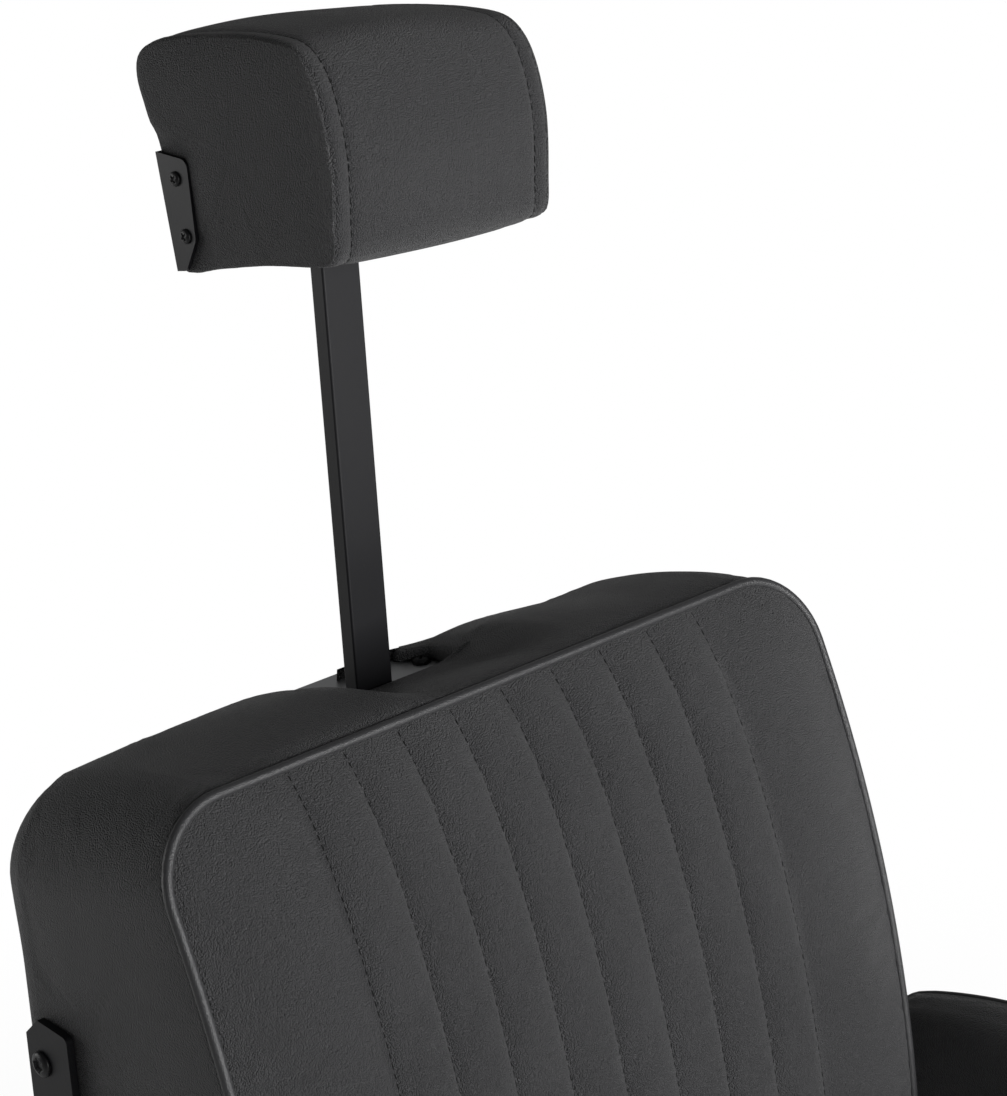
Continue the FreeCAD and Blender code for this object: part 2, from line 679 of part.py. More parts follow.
def arm_pieces():
    outer = ARM_INNER + ARM_T
    panel = Part.Face(arm_wire(ARM_INNER, 0)).extrude(V(ARM_T, 0, 0))
    inner_rim = [e for e in panel.Edges if e.BoundBox.XMax < ARM_INNER + 1e-3]
    panel = panel.makeFillet(ARM_ROLL_R, inner_rim)
    outer_rim = [e for e in panel.Edges if e.BoundBox.XMin > outer - 1e-3]
    panel = panel.makeFillet(ARM_EDGE_R, outer_rim)
    inset = ARM_EDGE_R * (1 - math.sqrt(0.5)) + 0.6
    wire = arm_wire(outer - inset, inset)
    panel = panel.cut(sweep_cord(wire, PIPE_R + GROOVE_GAP))
    cord = sweep_cord(wire, PIPE_R)
    save("arm_left", panel)
    save("arm_right", mirror(panel))
    save("arm_piping", Part.makeCompound([cord, mirror(cord)]))

    mid = RAIL_TOP - RAIL_SIZE / 2
    spacers = []
    bolts = []
    for y in (-ARM_BOLT_Y, ARM_BOLT_Y):
        spacer = rod_x(ARM_SPACER_R, RAIL_OUTER, ARM_INNER, y, mid + 12)
        spacer = spacer.common(box(0, 400, -300, 300, RAIL_TOP - RAIL_SIZE, RAIL_TOP))
        bolt = dome_screw(9.0, 4.5, V(outer, y, mid + 24), V(1, 0, 0))
        spacers += [spacer, mirror(spacer)]
        bolts += [bolt, mirror(bolt)]
    save("arm_spacers", Part.makeCompound(spacers))
    save("arm_bolts", Part.makeCompound(bolts))


# The back's front face in the side view: straight at its edges, two arcs between
TOP_DEPTH = BACK_CORNER_R * math.cos(TOP_LEAN)
UP_DEPTH = TOP_DEPTH + FACE_R_UP * (math.sin(TOP_LEAN) - math.sin(MID_LEAN))
LOW_DEPTH = UP_DEPTH + FACE_R_LOW * (math.sin(MID_LEAN) - math.sin(LOW_LEAN))
BACK_DEPTH = LOW_DEPTH + BACK_CORNER_R * math.cos(LOW_LEAN)


def face_forward(depth):
    """How far the front seam line lies ahead of its top, at a depth below the top."""
    if depth <= TOP_DEPTH:
        return depth * math.tan(TOP_LEAN)
    forward = TOP_DEPTH * math.tan(TOP_LEAN)
    if depth <= UP_DEPTH:
        sine = math.sin(TOP_LEAN) - (depth - TOP_DEPTH) / FACE_R_UP
        return forward + FACE_R_UP * (math.sqrt(1 - sine * sine) - math.cos(TOP_LEAN))
    forward += FACE_R_UP * (math.cos(MID_LEAN) - math.cos(TOP_LEAN))
    if depth <= LOW_DEPTH:
        sine = math.sin(MID_LEAN) - (depth - UP_DEPTH) / FACE_R_LOW
        return forward + FACE_R_LOW * (math.sqrt(1 - sine * sine) - math.cos(MID_LEAN))
    forward += FACE_R_LOW * (math.cos(LOW_LEAN) - math.cos(MID_LEAN))
    return forward + (depth - LOW_DEPTH) * math.tan(LOW_LEAN)


def seam_point(x, depth):
    return V(x, BACK_Y - face_forward(depth), BACK_Z - depth)


def rear_y(z):
    """The back's flat rear face, which leans with the headrest bar."""
    return BACK_Y + BACK_T - (BACK_Z - z) * math.tan(BAR_LEAN)


def back_piping_wire():
    half = BACK_SEAM_HALF
    corner = BACK_CORNER_R
    flat = half - corner
    k = corner * (1 - math.sqrt(0.5))

    def top_point(across, down):
        return V(across, BACK_Y - down * math.sin(TOP_LEAN), BACK_Z - down * math.cos(TOP_LEAN))

    foot = seam_point(0, BACK_DEPTH)

    def foot_point(across, up):
        return V(across, foot.y - up * math.sin(-LOW_LEAN), foot.z + up * math.cos(LOW_LEAN))

    up_mid = (TOP_DEPTH + UP_DEPTH) / 2
    low_mid = (UP_DEPTH + LOW_DEPTH) / 2
    edges = [line(top_point(-flat, 0), top_point(flat, 0)),
             arc(top_point(flat, 0), top_point(half - k, k), top_point(half, corner)),
             arc(seam_point(half, TOP_DEPTH), seam_point(half, up_mid), seam_point(half, UP_DEPTH)),
             arc(seam_point(half, UP_DEPTH), seam_point(half, low_mid), seam_point(half, LOW_DEPTH)),
             arc(foot_point(half, corner), foot_point(half - k, k), foot_point(flat, 0)),
             line(foot_point(flat, 0), foot_point(-flat, 0)),
             arc(foot_point(-flat, 0), foot_point(-half + k, k), foot_point(-half, corner)),
             arc(seam_point(-half, LOW_DEPTH), seam_point(-half, low_mid), seam_point(-half, UP_DEPTH)),
             arc(seam_point(-half, UP_DEPTH), seam_point(-half, up_mid), seam_point(-half, TOP_DEPTH)),
             arc(top_point(-half, corner), top_point(-half + k, k), top_point(-flat, 0))]
    return Part.Wire(edges)


# Back cushion: a deep padded box whose front swells out of the piping into channels
def back_section(depth, rise):
    z = BACK_Z - depth
    seam_y = BACK_Y - face_forward(depth)
    rear = rear_y(z)
    seam_half = CHANNELS * CHANNEL_WIDTH / 2
    half = BACK_HALF
    step = BACK_HALF - BACK_SEAM_HALF
    corner = REAR_CORNER_R
    k = corner * (1 - math.sqrt(0.5))

    def place(across, out):
        return V(across, seam_y - out, z)

    edges = channel_edges(place, seam_half, BACK_SEAM_HALF, rise)
    edges.append(line(V(half - step, seam_y, z), V(half, seam_y + 2 * step, z)))
    edges.append(line(V(half, seam_y + 2 * step, z), V(half, rear - corner, z)))
    edges.append(arc(V(half, rear - corner, z), V(half - k, rear - k, z), V(half - corner, rear, z)))
    edges.append(line(V(half - corner, rear, z), V(corner - half, rear, z)))
    edges.append(arc(V(corner - half, rear, z), V(k - half, rear - k, z), V(-half, rear - corner, z)))
    edges.append(line(V(-half, rear - corner, z), V(-half, seam_y + 2 * step, z)))
    edges.append(line(V(-half, seam_y + 2 * step, z), V(step - half, seam_y, z)))
    return Part.Wire(edges)


def back_cushion_body():
    sections = []
    depths = [-24.0, 0.0, 14.0, 34.0, 70.0, 130.0, 220.0, 320.0, 410.0]
    depths += [BACK_DEPTH - 40, BACK_DEPTH - 14, BACK_DEPTH, BACK_DEPTH + 12]
    for depth in depths:
        reach = min(depth, BACK_DEPTH - depth)
        swell = CROWN * (1 - math.exp(-max(reach, 0.0) / CROWN_RUN))
        sections.append(back_section(depth, max(swell, 0.8)))
    body = Part.makeLoft(sections, True, False)

    front = BACK_Y - 220
    beyond = BACK_Y + BACK_T + 60
    rear_top_y = rear_y(BACK_Z - BACK_T * math.tan(TOP_FALL))
    rear_top_z = BACK_Z - (rear_top_y - BACK_Y) * math.tan(TOP_FALL)
    chord_mid_y = (BACK_Y + rear_top_y) / 2 + TOP_CROWN * math.sin(TOP_FALL)
    chord_mid_z = (BACK_Z + rear_top_z) / 2 + TOP_CROWN * math.cos(TOP_FALL)
    low = BACK_Z - BACK_DEPTH
    beside = -BACK_HALF - 100

    def side(y, z):
        return V(beside, y, z)

    rear_edge = side(rear_top_y + 0.5, rear_top_z - TOP_REAR_R)
    bevel_top = side(rear_top_y - TOP_REAR_R, rear_top_z + TOP_REAR_R * 0.42)
    beyond_low = side(beyond, low)
    beyond_high = side(beyond, rear_top_z - 3 * TOP_REAR_R)
    ahead = side(front, BACK_Z + 40)
    seam = side(BACK_Y, BACK_Z)
    side_view = Part.Face(Part.Wire([
        line(side(front, low), beyond_low),
        line(beyond_low, beyond_high),
        line(beyond_high, rear_edge),
        line(rear_edge, bevel_top),
        arc(bevel_top, side(chord_mid_y, chord_mid_z), seam),
        line(seam, ahead),
        line(ahead, side(front, low)),
    ])).extrude(V(-2 * beside, 0, 0))

    lift = (BACK_Y - front) * math.tan(TOP_FALL)
    half = BACK_HALF
    corners = [V(-half, front, low - 200), V(half, front, low - 200),
               V(half, front, BACK_Z + lift + 0.5), V(-half, front, BACK_Z + lift + 0.5)]
    run = V(0, 500, -500 * math.tan(TOP_FALL))
    top_round = BACK_CORNER_R / math.cos(TOP_LEAN)
    front_view = Part.Face(rounded_wire(corners, [0, 0, top_round, top_round])).extrude(run)
    return body.common(side_view).common(front_view)


def bar_box(across, ahead, behind, low, high):
    """Upright box about the headrest bar's centre line, leaning with the bar."""
    shape = box(-across / 2, across / 2, BAR_Y - ahead, BAR_Y + behind, BAR_Z + low, BAR_Z + high)
    return tilted(shape, BAR_LEAN, BAR_Y, BAR_Z)


def rear_block(half, low, high, inset, thick):
    """Flat block let into the back's rear face by its inset, square to that face."""
    y = rear_y(BACK_Z)
    slope = math.cos(BAR_LEAN)
    z0 = BACK_Z - (BACK_Z - low) / slope
    z1 = BACK_Z - (BACK_Z - high) / slope
    block = box(-half, half, y - inset, y - inset + thick, z0, z1)
    return tilted(block, BAR_LEAN, y, BACK_Z)


def back_pieces():
    cushion = back_cushion_body()
    wire = back_piping_wire()
    cushion = cushion.cut(sweep_cord(wire, PIPE_R + GROOVE_GAP))

    sleeve_half_w = BAR_WIDTH / 2 + RUNNING_GAP + SLEEVE_WALL
    sleeve_half_t = BAR_T / 2 + RUNNING_GAP + SLEEVE_WALL
    pocket_w = 2 * (sleeve_half_w + FACE_GAP)
    pocket_t = sleeve_half_t + FACE_GAP
    shaft = BAR_DOWN + BAR_LOWER_TRAVEL + 14
    cushion = cushion.cut(bar_box(pocket_w, pocket_t, pocket_t, -shaft, 60))
    notch = PLATE_WIDTH + 2 * FACE_GAP
    cushion = cushion.cut(bar_box(notch, PLATE_AHEAD + FACE_GAP, 90, -PLATE_T - FACE_GAP, 60))

    panel_top = BACK_Z - 96
    panel_low = BACK_Z - BACK_DEPTH + 24
    inset = 8.0
    panel_t = 12.0
    panel_half = BACK_HALF - REAR_CORNER_R - 12
    panel = rear_block(panel_half, panel_low, panel_top, inset, panel_t)
    short = [e for e in panel.Edges if e.Length < panel_t + 1]
    panel = panel.makeFillet(22, short)
    grown = panel_half + FACE_GAP
    recess = rear_block(grown, panel_low - FACE_GAP, panel_top + FACE_GAP, inset + FACE_GAP, 60)
    cushion = cushion.cut(recess)
    save("back_cushion", cushion)
    save("back_piping", sweep_cord(wire, PIPE_R))
    save("rear_panel", panel)

    screws = []
    out = V(0, math.cos(BAR_LEAN), -math.sin(BAR_LEAN))
    for x in (-panel_half + 20, 0, panel_half - 20):
        for z in (panel_low + 22, panel_top - 22):
            at = V(x, rear_y(z) + (panel_t - inset) / math.cos(BAR_LEAN), z)
            screws.append(dome_screw(5.5, 2.6, at, out))
    save("rear_panel_screws", Part.makeCompound(screws))

    sleeve = bar_box(2 * sleeve_half_w, sleeve_half_t, sleeve_half_t, -PLATE_T - SLEEVE_LENGTH, -PLATE_T)
    hole_w = BAR_WIDTH + 2 * RUNNING_GAP
    hole_t = BAR_T / 2 + RUNNING_GAP
    bar_hole = bar_box(hole_w, hole_t, hole_t, -400, 100)
    save("headrest_sleeve", sleeve.cut(bar_hole))

    half = PLATE_WIDTH / 2
    outline = [(-half, BAR_Y - PLATE_AHEAD), (half, BAR_Y - PLATE_AHEAD),
               (half, BAR_Y + PLATE_BEHIND), (-half, BAR_Y + PLATE_BEHIND)]
    plate = plate_z(outline, [4, 4, 8, 8], BAR_Z - PLATE_T, BAR_Z)
    plate = tilted(plate, BAR_LEAN, BAR_Y, BAR_Z).cut(bar_hole)
    save("top_plate", plate)

    screws = []
    up = V(0, math.sin(BAR_LEAN), math.cos(BAR_LEAN))
    ahead = V(0, math.cos(BAR_LEAN), -math.sin(BAR_LEAN))
    for x in (-PLATE_SCREW_X, PLATE_SCREW_X):
        at = V(x, BAR_Y, BAR_Z) + ahead * 14
        screws.append(dome_screw(6.0, 4.0, at, up))
    save("plate_screws", Part.makeCompound(screws))


# Back frame: a steel side bar on each flank from the hinge up, and a cross tube with a horn
def back_frame_pieces():
    x0 = BACK_HALF + FACE_GAP
    x1 = x0 + SIDE_BAR_T
    slope = math.tan(BAR_LEAN)

    def bar_rear(z):
        return BACK_Y + SIDE_BAR_REAR - (BACK_Z - SIDE_BAR_TOP - z) * slope

    top = BACK_Z - SIDE_BAR_TOP
    knee = BACK_Z - 400
    outline = [(bar_rear(top) - SIDE_BAR_WIDTH, top), (bar_rear(knee) - SIDE_BAR_WIDTH, knee),
               (HINGE_Y - 20, HINGE_Z + 26), (HINGE_Y - 24, HINGE_Z - 24), (HINGE_Y + 24, HINGE_Z - 24),
               (CROSS_BAR_Y + 26, CROSS_BAR_Z - 22), (bar_rear(knee), knee - 30),
               (bar_rear(top - 13), top - 13), (bar_rear(top) - 13, top)]
    bar = plate_x(outline, [4, 120, 18, 22, 22, 30, 60, 0, 0], x0, x1)
    bar = bar.cut(rod_x(HINGE_PIN_R + RUNNING_GAP, x0 - 5, x1 + 5, HINGE_Y, HINGE_Z))
    save("back_bracket_left", bar)
    save("back_bracket_right", mirror(bar))

    bolts = []
    for down, inward in ((188.0, 14.0), (300.0, 20.0), (400.0, 20.0)):
        z = BACK_Z - down
        at = V(x1, bar_rear(z) - inward, z)
        bolt = dome_screw(8.0, 4.0, at, V(1, 0, 0))
        bolts += [bolt, mirror(bolt)]
    save("bracket_bolts", Part.makeCompound(bolts))

    cross = rod_x(CROSS_BAR_R, -x0, x0, CROSS_BAR_Y, CROSS_BAR_Z)
    horns = []
    for side in (-1, 1):
        inner = GAS_EYE_HALF + SIDE_PLAY
        h0 = GAS_X + min(side * inner, side * (inner + HORN_T))
        horn = plate_x([(CROSS_BAR_Y - 20, CROSS_BAR_Z - 4), (GAS_PIN_Y - 13, GAS_PIN_Z + 8),
                        (GAS_PIN_Y - 13, GAS_PIN_Z - 12), (GAS_PIN_Y + 12, GAS_PIN_Z - 12),
                        (CROSS_BAR_Y + 18, CROSS_BAR_Z - 4)], [4, 12, 11, 11, 4], h0, h0 + HORN_T)
        horns.append(horn)
    cross = join([cross] + horns)
    reach = GAS_EYE_HALF + SIDE_PLAY + HORN_T + 2
    pin = rod_x(GAS_PIN_R, GAS_X - reach, GAS_X + reach, GAS_PIN_Y, GAS_PIN_Z)
    save("back_crossbar", cross.cut(pin))
    save("gas_pin", pin)

    lug_x1 = RAIL_OUTER + LUG_T
    rail_low = RAIL_TOP - RAIL_SIZE
    ahead = HINGE_Y - 20
    behind = HINGE_Y + 20
    lug = plate_x([(ahead - 4, rail_low + 2), (RAIL_REAR - 1, rail_low + 2), (behind, HINGE_Z + 20),
                   (ahead, HINGE_Z + 20)], [5, 5, 19, 19], RAIL_OUTER, lug_x1)
    lug = lug.cut(rod_x(HINGE_PIN_R, RAIL_OUTER - 5, lug_x1 + 5, HINGE_Y, HINGE_Z))
    save("recline_lug_left", lug)
    save("recline_lug_right", mirror(lug))

    pin = rod_x(HINGE_PIN_R, x0, lug_x1, HINGE_Y, HINGE_Z)
    pin = pin.fuse(dome_screw(10.0, 5.0, V(lug_x1, HINGE_Y, HINGE_Z), V(1, 0, 0)))
    save("recline_pins", Part.makeCompound([pin, mirror(pin)]))


# Recline lock: a gas spring from a clevis under the front tube to the horn on the back's tube
def gas_spring_pieces():
    z = GAS_LINE_Z
    front = CROSS_FRONT_Y
    boss = GAS_PIN_R + 6

    cylinder = rod(GAS_RADIUS, V(GAS_X, front + boss + 4, z), V(GAS_X, GAS_BODY_END, z))
    neck = rod(6, V(GAS_X, front, z), V(GAS_X, front + boss + 5, z))
    eye = rod_x(boss, GAS_X - GAS_EYE_HALF, GAS_X + GAS_EYE_HALF, front, z)
    cylinder = join([cylinder, neck, eye])
    travel = 2 * HORN_LENGTH * math.sin(RECLINE / 2)
    bore_end = GAS_ROD_START - travel - 6
    bore = rod(GAS_ROD_R + RUNNING_GAP, V(GAS_X, bore_end, z), V(GAS_X, GAS_BODY_END + 1, z))
    clevis_reach = GAS_EYE_HALF + FACE_GAP + CLEVIS_T
    pin = rod_x(GAS_PIN_R, GAS_X - clevis_reach - 2, GAS_X + clevis_reach + 2, front, z)
    save("gas_cylinder", cylinder.cut(bore).cut(pin))
    save("gas_front_pin", pin)

    eye_bore = GAS_PIN_R + GAS_ARC_SLACK + 0.6
    eye_out = eye_bore + GAS_EYE_WALL
    shaft = rod(GAS_ROD_R, V(GAS_X, GAS_ROD_START, z), V(GAS_X, GAS_PIN_Y - eye_bore - 1, z))
    eye = rod_x(eye_out, GAS_X - GAS_EYE_HALF, GAS_X + GAS_EYE_HALF, GAS_PIN_Y, z)
    gas_rod = join([shaft, eye])
    gas_rod = gas_rod.cut(rod_x(eye_bore, GAS_X - 20, GAS_X + 20, GAS_PIN_Y, z))
    save("gas_rod", gas_rod)


# Release lever: a bent rod in two brackets under the seat, with a grip on its forward end
def lever_pieces():
    rail_low = RAIL_TOP - RAIL_SIZE
    y = CROSS_FRONT_Y
    z = rail_low - LEVER_DROP
    bend_x = -LEVER_OUT + LEVER_BEND
    k = LEVER_BEND * math.sqrt(0.5)
    end_y = y - LEVER_ARM
    path = [line(V(-LEVER_IN, y, z), V(bend_x, y, z)),
            arc(V(bend_x, y, z), V(bend_x - k, y - LEVER_BEND + k, z), V(-LEVER_OUT, y - LEVER_BEND, z)),
            line(V(-LEVER_OUT, y - LEVER_BEND, z), V(-LEVER_OUT, end_y, z))]
    pieces = []
    for edge in path:
        start = edge.valueAt(edge.FirstParameter)
        disc = Part.Face(Part.Wire(Part.makeCircle(LEVER_R, start, edge.tangentAt(edge.FirstParameter))))
        if edge is path[1]:
            pieces.append(disc.revolve(edge.Curve.Center, edge.Curve.Axis, 90))
        else:
            pieces.append(disc.extrude(edge.valueAt(edge.LastParameter) - start))
    lever = join(pieces)
    save("recline_lever", lever)

    grip = rod(KNOB_R, V(-LEVER_OUT, end_y + 34, z), V(-LEVER_OUT, end_y + 34 - KNOB_LENGTH, z))
    tip = [e for e in grip.Edges if e.BoundBox.YMax < end_y + 35 - KNOB_LENGTH]
    grip = grip.makeChamfer(KNOB_R / 3, tip)
    grip = grip.cut(rod(LEVER_R, V(-LEVER_OUT, end_y + 40, z), V(-LEVER_OUT, end_y, z)))
    save("lever_grip", grip)


# Headrest: bar, pivoting bracket, screws and the padded block
HEAD_PIVOT = V(0, BAR_Y + BAR_UP * math.sin(BAR_LEAN), BAR_Z + BAR_UP * math.cos(BAR_LEAN))


def head_point(forward, up, x=0.0):
    """Point in the headrest's own side view, from its lower rear corner."""
    ahead = forward - HEAD_PIVOT_IN
    above = up - HEAD_PIVOT_UP
    y = HEAD_PIVOT.y - ahead * math.cos(HEAD_TILT) + above * math.sin(HEAD_TILT)
    z = HEAD_PIVOT.z + ahead * math.sin(HEAD_TILT) + above * math.cos(HEAD_TILT)
    return V(x, y, z)


def head_plate(outline, radii, x0, x1):
    points = [head_point(f, u, x0) for f, u in outline]
    return Part.Face(rounded_wire(points, radii)).extrude(V(x1 - x0, 0, 0))


def head_wire(x, scale):
    """Outline of the padded block at one station, drawn in about its middle by the scale."""
    mid_in = HEAD_DEPTH / 2
    mid_up = HEAD_HEIGHT / 2

    def at(forward, up):
        return head_point(mid_in + (forward - mid_in) * scale, mid_up + (up - mid_up) * scale, x)

    front = HEAD_DEPTH
    belly = HEAD_BELLY
    top = HEAD_HEIGHT
    back = -HEAD_OVERHANG
    shelf = BRACKET_HEIGHT + 3
    return Part.Wire([
        line(at(0, 0), at(front - 6, 0)),
        arc(at(front - 6, 0), at(front - 1.2, 2.6), at(front + 1, 8)),
        arc(at(front + 1, 8), at(belly, top * 0.5), at(belly - 3, top * 0.77)),
        arc(at(belly - 3, top * 0.77), at(belly - 10, top * 0.91), at(belly - 25, top * 0.97)),
        arc(at(belly - 25, top * 0.97), at(mid_in, top + 2.5), at(16, top + 2)),
        arc(at(16, top + 2), at(back + 6, top - 2), at(back, top - 16)),
        arc(at(back, top - 16), at(back + 3, shelf + 14), at(0, shelf)),
        line(at(0, shelf), at(0, 0)),
    ])


def headrest_pieces():
    bar = bar_box(BAR_WIDTH, BAR_T / 2, BAR_T / 2, -BAR_DOWN, BAR_UP)
    long_edges = [e for e in bar.Edges if e.Length > 300]
    bar = bar.makeFillet(BAR_CORNER_R, long_edges)
    half = BAR_WIDTH / 2
    knuckle = rod_x(EAR_R - 1, -half, half, HEAD_PIVOT.y, HEAD_PIVOT.z)
    bar = join([bar, knuckle])
    pin_half = half + SIDE_PLAY + EAR_T + 1
    pin = rod_x(HEAD_PIN_R, -pin_half, pin_half, HEAD_PIVOT.y, HEAD_PIVOT.z)
    save("headrest_bar", bar.cut(pin))
    save("headrest_pin", pin)

    seam = HEAD_SEAM_HALF
    body = Part.Face(head_wire(-seam, 1)).extrude(V(2 * seam, 0, 0))
    caps = []
    for side in (-1, 1):
        stations = []
        for out, scale in ((0, 1), (0.5, 0.93), (0.82, 0.82), (1, 0.6)):
            stations.append(head_wire(side * (seam + out * HEAD_CROWN), scale))
        caps.append(Part.makeLoft(stations, True, True))
    cushion = body.fuse(caps[0]).fuse(caps[1])
    pocket = pin_half + FACE_GAP + 0.2
    well = [(HEAD_POCKET_REAR, -1), (HEAD_POCKET_IN, -1), (HEAD_POCKET_IN, HEAD_POCKET_UP),
            (HEAD_POCKET_REAR, HEAD_POCKET_UP)]
    slot_end = HEAD_POCKET_REAR + 1
    slot = [(-1, -1), (slot_end, -1), (slot_end, HEAD_POCKET_UP), (-1, HEAD_POCKET_UP)]
    square = [0, 0, 0, 0]
    slot_in = half + SIDE_PLAY - FACE_GAP
    cushion = cushion.cut(head_plate(well, square, -pocket, pocket))
    for x0, x1 in ((slot_in, pocket), (-pocket, -slot_in)):
        cushion = cushion.cut(head_plate(slot, square, x0, x1))

    flange_in = seam + FACE_GAP
    flange_out = flange_in + BRACKET_T
    rear = -FACE_GAP
    behind = rear - BRACKET_T
    low = 1.0
    top = BRACKET_HEIGHT
    deep = BRACKET_DEPTH
    plate = head_plate([(behind, low), (rear, low), (rear, top), (behind, top)], square, -flange_out, flange_out)
    pieces = [plate]
    outline = [(behind, low), (6, low), (deep - 2, 18), (deep + 3, top - 6), (behind, top)]
    tip = HEAD_PIVOT_IN + EAR_R
    ear = [(behind, HEAD_PIVOT_UP - 16), (tip, HEAD_PIVOT_UP - EAR_R), (tip, HEAD_PIVOT_UP + EAR_R),
           (behind, HEAD_PIVOT_UP + 16)]
    for side in (-1, 1):
        x0 = min(side * flange_in, side * flange_out)
        pieces.append(head_plate(outline, [0, 3, 8, 6, 0], x0, x0 + BRACKET_T))
        ear_in = half + SIDE_PLAY
        e0 = min(side * ear_in, side * (ear_in + EAR_T))
        pieces.append(head_plate(ear, [0, EAR_R - 1, EAR_R - 1, 0], e0, e0 + EAR_T))
        if side < 0:
            sink = head_plate(outline, [0, 0, 0, 0, 0], -seam - HEAD_CROWN - 1, -seam)
        else:
            sink = head_plate(outline, [0, 0, 0, 0, 0], seam, seam + HEAD_CROWN + 1)
        cushion = cushion.cut(sink)
    bracket = join(pieces)
    bracket = bracket.cut(rod_x(HEAD_PIN_R + RUNNING_GAP, -40, 40, HEAD_PIVOT.y, HEAD_PIVOT.z))
    save("headrest_bracket", bracket)
    save("headrest_cushion", cushion)

    screws = []
    for up in (21, 54):
        screw = dome_screw(4.4, 2.4, head_point(12, up, flange_out), V(1, 0, 0))
        screws += [screw, mirror(screw)]
    save("headrest_screws", Part.makeCompound(screws))


# Leg rest: two flat bars hung from pins in the rails, a tie tube, a calf pad and a folding footplate
def leg_point(down, ahead, x=0.0):
    """Point along the leg bars and ahead of their middle line."""
    pivot_z = RAIL_TOP - LEG_PIVOT_DROP
    y = LEG_PIVOT_Y - down * math.sin(LEG_LEAN) - ahead * math.cos(LEG_LEAN)
    z = pivot_z - down * math.cos(LEG_LEAN) + ahead * math.sin(LEG_LEAN)
    return V(x, y, z)


def leg_rest_pieces():
    half = LEG_BAR_WIDTH / 2
    out = RAIL_OUTER - RAIL_SIZE - SIDE_PLAY
    inner = out - LEG_BAR_T
    corners = [leg_point(-half, -half, inner), leg_point(LEG_LENGTH + half, -half, inner),
               leg_point(LEG_LENGTH + half, half, inner), leg_point(-half, half, inner)]
    round_r = half - 0.5
    bar = Part.Face(rounded_wire(corners, [round_r] * 4)).extrude(V(LEG_BAR_T, 0, 0))
    pivot = leg_point(0, 0)
    hinge = leg_point(LEG_LENGTH, 0)
    bar = bar.cut(rod_x(LEG_PIN_R + RUNNING_GAP, inner - 5, out + 5, pivot.y, pivot.z))
    bar = bar.cut(rod_x(LEG_PIN_R, inner - 5, out + 5, hinge.y, hinge.z))
    save("legrest_bar_left", bar)
    save("legrest_bar_right", mirror(bar))

    tie = leg_point(LEG_TIE_DOWN, 0)
    save("legrest_tie", rod_x(LEG_TIE_R, -inner, inner, tie.y, tie.z))

    pins = []
    foot_pins = []
    for side in (-1, 1):
        a = side * (inner - 2)
        b = side * (RAIL_OUTER + 2)
        pins.append(rod_x(LEG_PIN_R, min(a, b), max(a, b), pivot.y, pivot.z))
        a = side * (inner - SIDE_PLAY - FOOT_T - 2)
        b = side * (out + 2)
        foot_pins.append(rod_x(LEG_PIN_R, min(a, b), max(a, b), hinge.y, hinge.z))
    save("legrest_pins", Part.makeCompound(pins))
    save("footplate_pins", Part.makeCompound(foot_pins))

    pad_half = inner + LEG_BAR_T - CALF_MARGIN
    base = half + FACE_GAP
    stations = []
    for share in (0.0, 0.1, 0.3, 0.5, 0.7, 0.9, 1.0):
        down = CALF_TOP + share * CALF_LENGTH
        reach = min(share, 1 - share)
        front = base + CALF_T - CALF_CROWN + CALF_CROWN * (1 - (1 - 2 * reach) ** 4)
        edge = base + CALF_T - CALF_CROWN * 1.6
        rear_left = leg_point(down, base, pad_half)
        side_left = leg_point(down, edge, pad_half)
        turn_left = leg_point(down, front - 3, pad_half - CALF_ROUND / 4)
        face_left = leg_point(down, front, pad_half - CALF_ROUND)
        rear_right = leg_point(down, base, -pad_half)
        side_right = leg_point(down, edge, -pad_half)
        turn_right = leg_point(down, front - 3, CALF_ROUND / 4 - pad_half)
        face_right = leg_point(down, front, CALF_ROUND - pad_half)
        stations.append(Part.Wire([line(rear_right, rear_left), line(rear_left, side_left),
                                   arc(side_left, turn_left, face_left), line(face_left, face_right),
                                   arc(face_right, turn_right, side_right), line(side_right, rear_right)]))
    save("calf_pad", Part.makeLoft(stations, True, True))

    foot_half = inner - SIDE_PLAY
    top = hinge.z - FOOT_DROP
    rear = hinge.y - 12
    front = rear - FOOT_DEPTH
    plate = plate_z([(-foot_half, front), (foot_half, front), (foot_half, rear), (-foot_half, rear)],
                    [FOOT_CORNER_R, FOOT_CORNER_R, 3, 3], top - FOOT_T, top)
    pieces = [plate]
    pitch = (FOOT_DEPTH - 46) / (FOOT_RIBS - 1)
    for k in range(FOOT_RIBS):
        rib_y = front + 18 + k * pitch
        rib_half = foot_half - 26
        pieces.append(box(-rib_half, rib_half, rib_y, rib_y + FOOT_RIB_WIDTH, top - 1, top + FOOT_RIB_HEIGHT))
    for side in (-1, 1):
        x0 = min(side * foot_half, side * (foot_half - FOOT_T))
        cheek = [(rear - 34, top - FOOT_T), (rear - 34, top + 2), (hinge.y - 11, hinge.z + 11),
                 (hinge.y + 11, hinge.z + 11), (hinge.y + 11, hinge.z - 9), (rear - 2, top - FOOT_T)]
        pieces.append(plate_x(cheek, [0, 0, 11, 10, 8, 0], x0, x0 + FOOT_T))
    foot = join(pieces)
    foot = foot.cut(rod_x(LEG_PIN_R + RUNNING_GAP, -300, 300, hinge.y, hinge.z))
    save("footplate", foot)


base_pieces()
column_pieces()
pedal_pieces()
seat_frame_pieces()
seat_cushion_pieces()
arm_pieces()
back_pieces()
back_frame_pieces()
gas_spring_pieces()
lever_pieces()
headrest_pieces()
leg_rest_pieces()
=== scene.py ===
import json
import math

import bmesh
import bpy
from mathutils import Matrix, Vector, kdtree


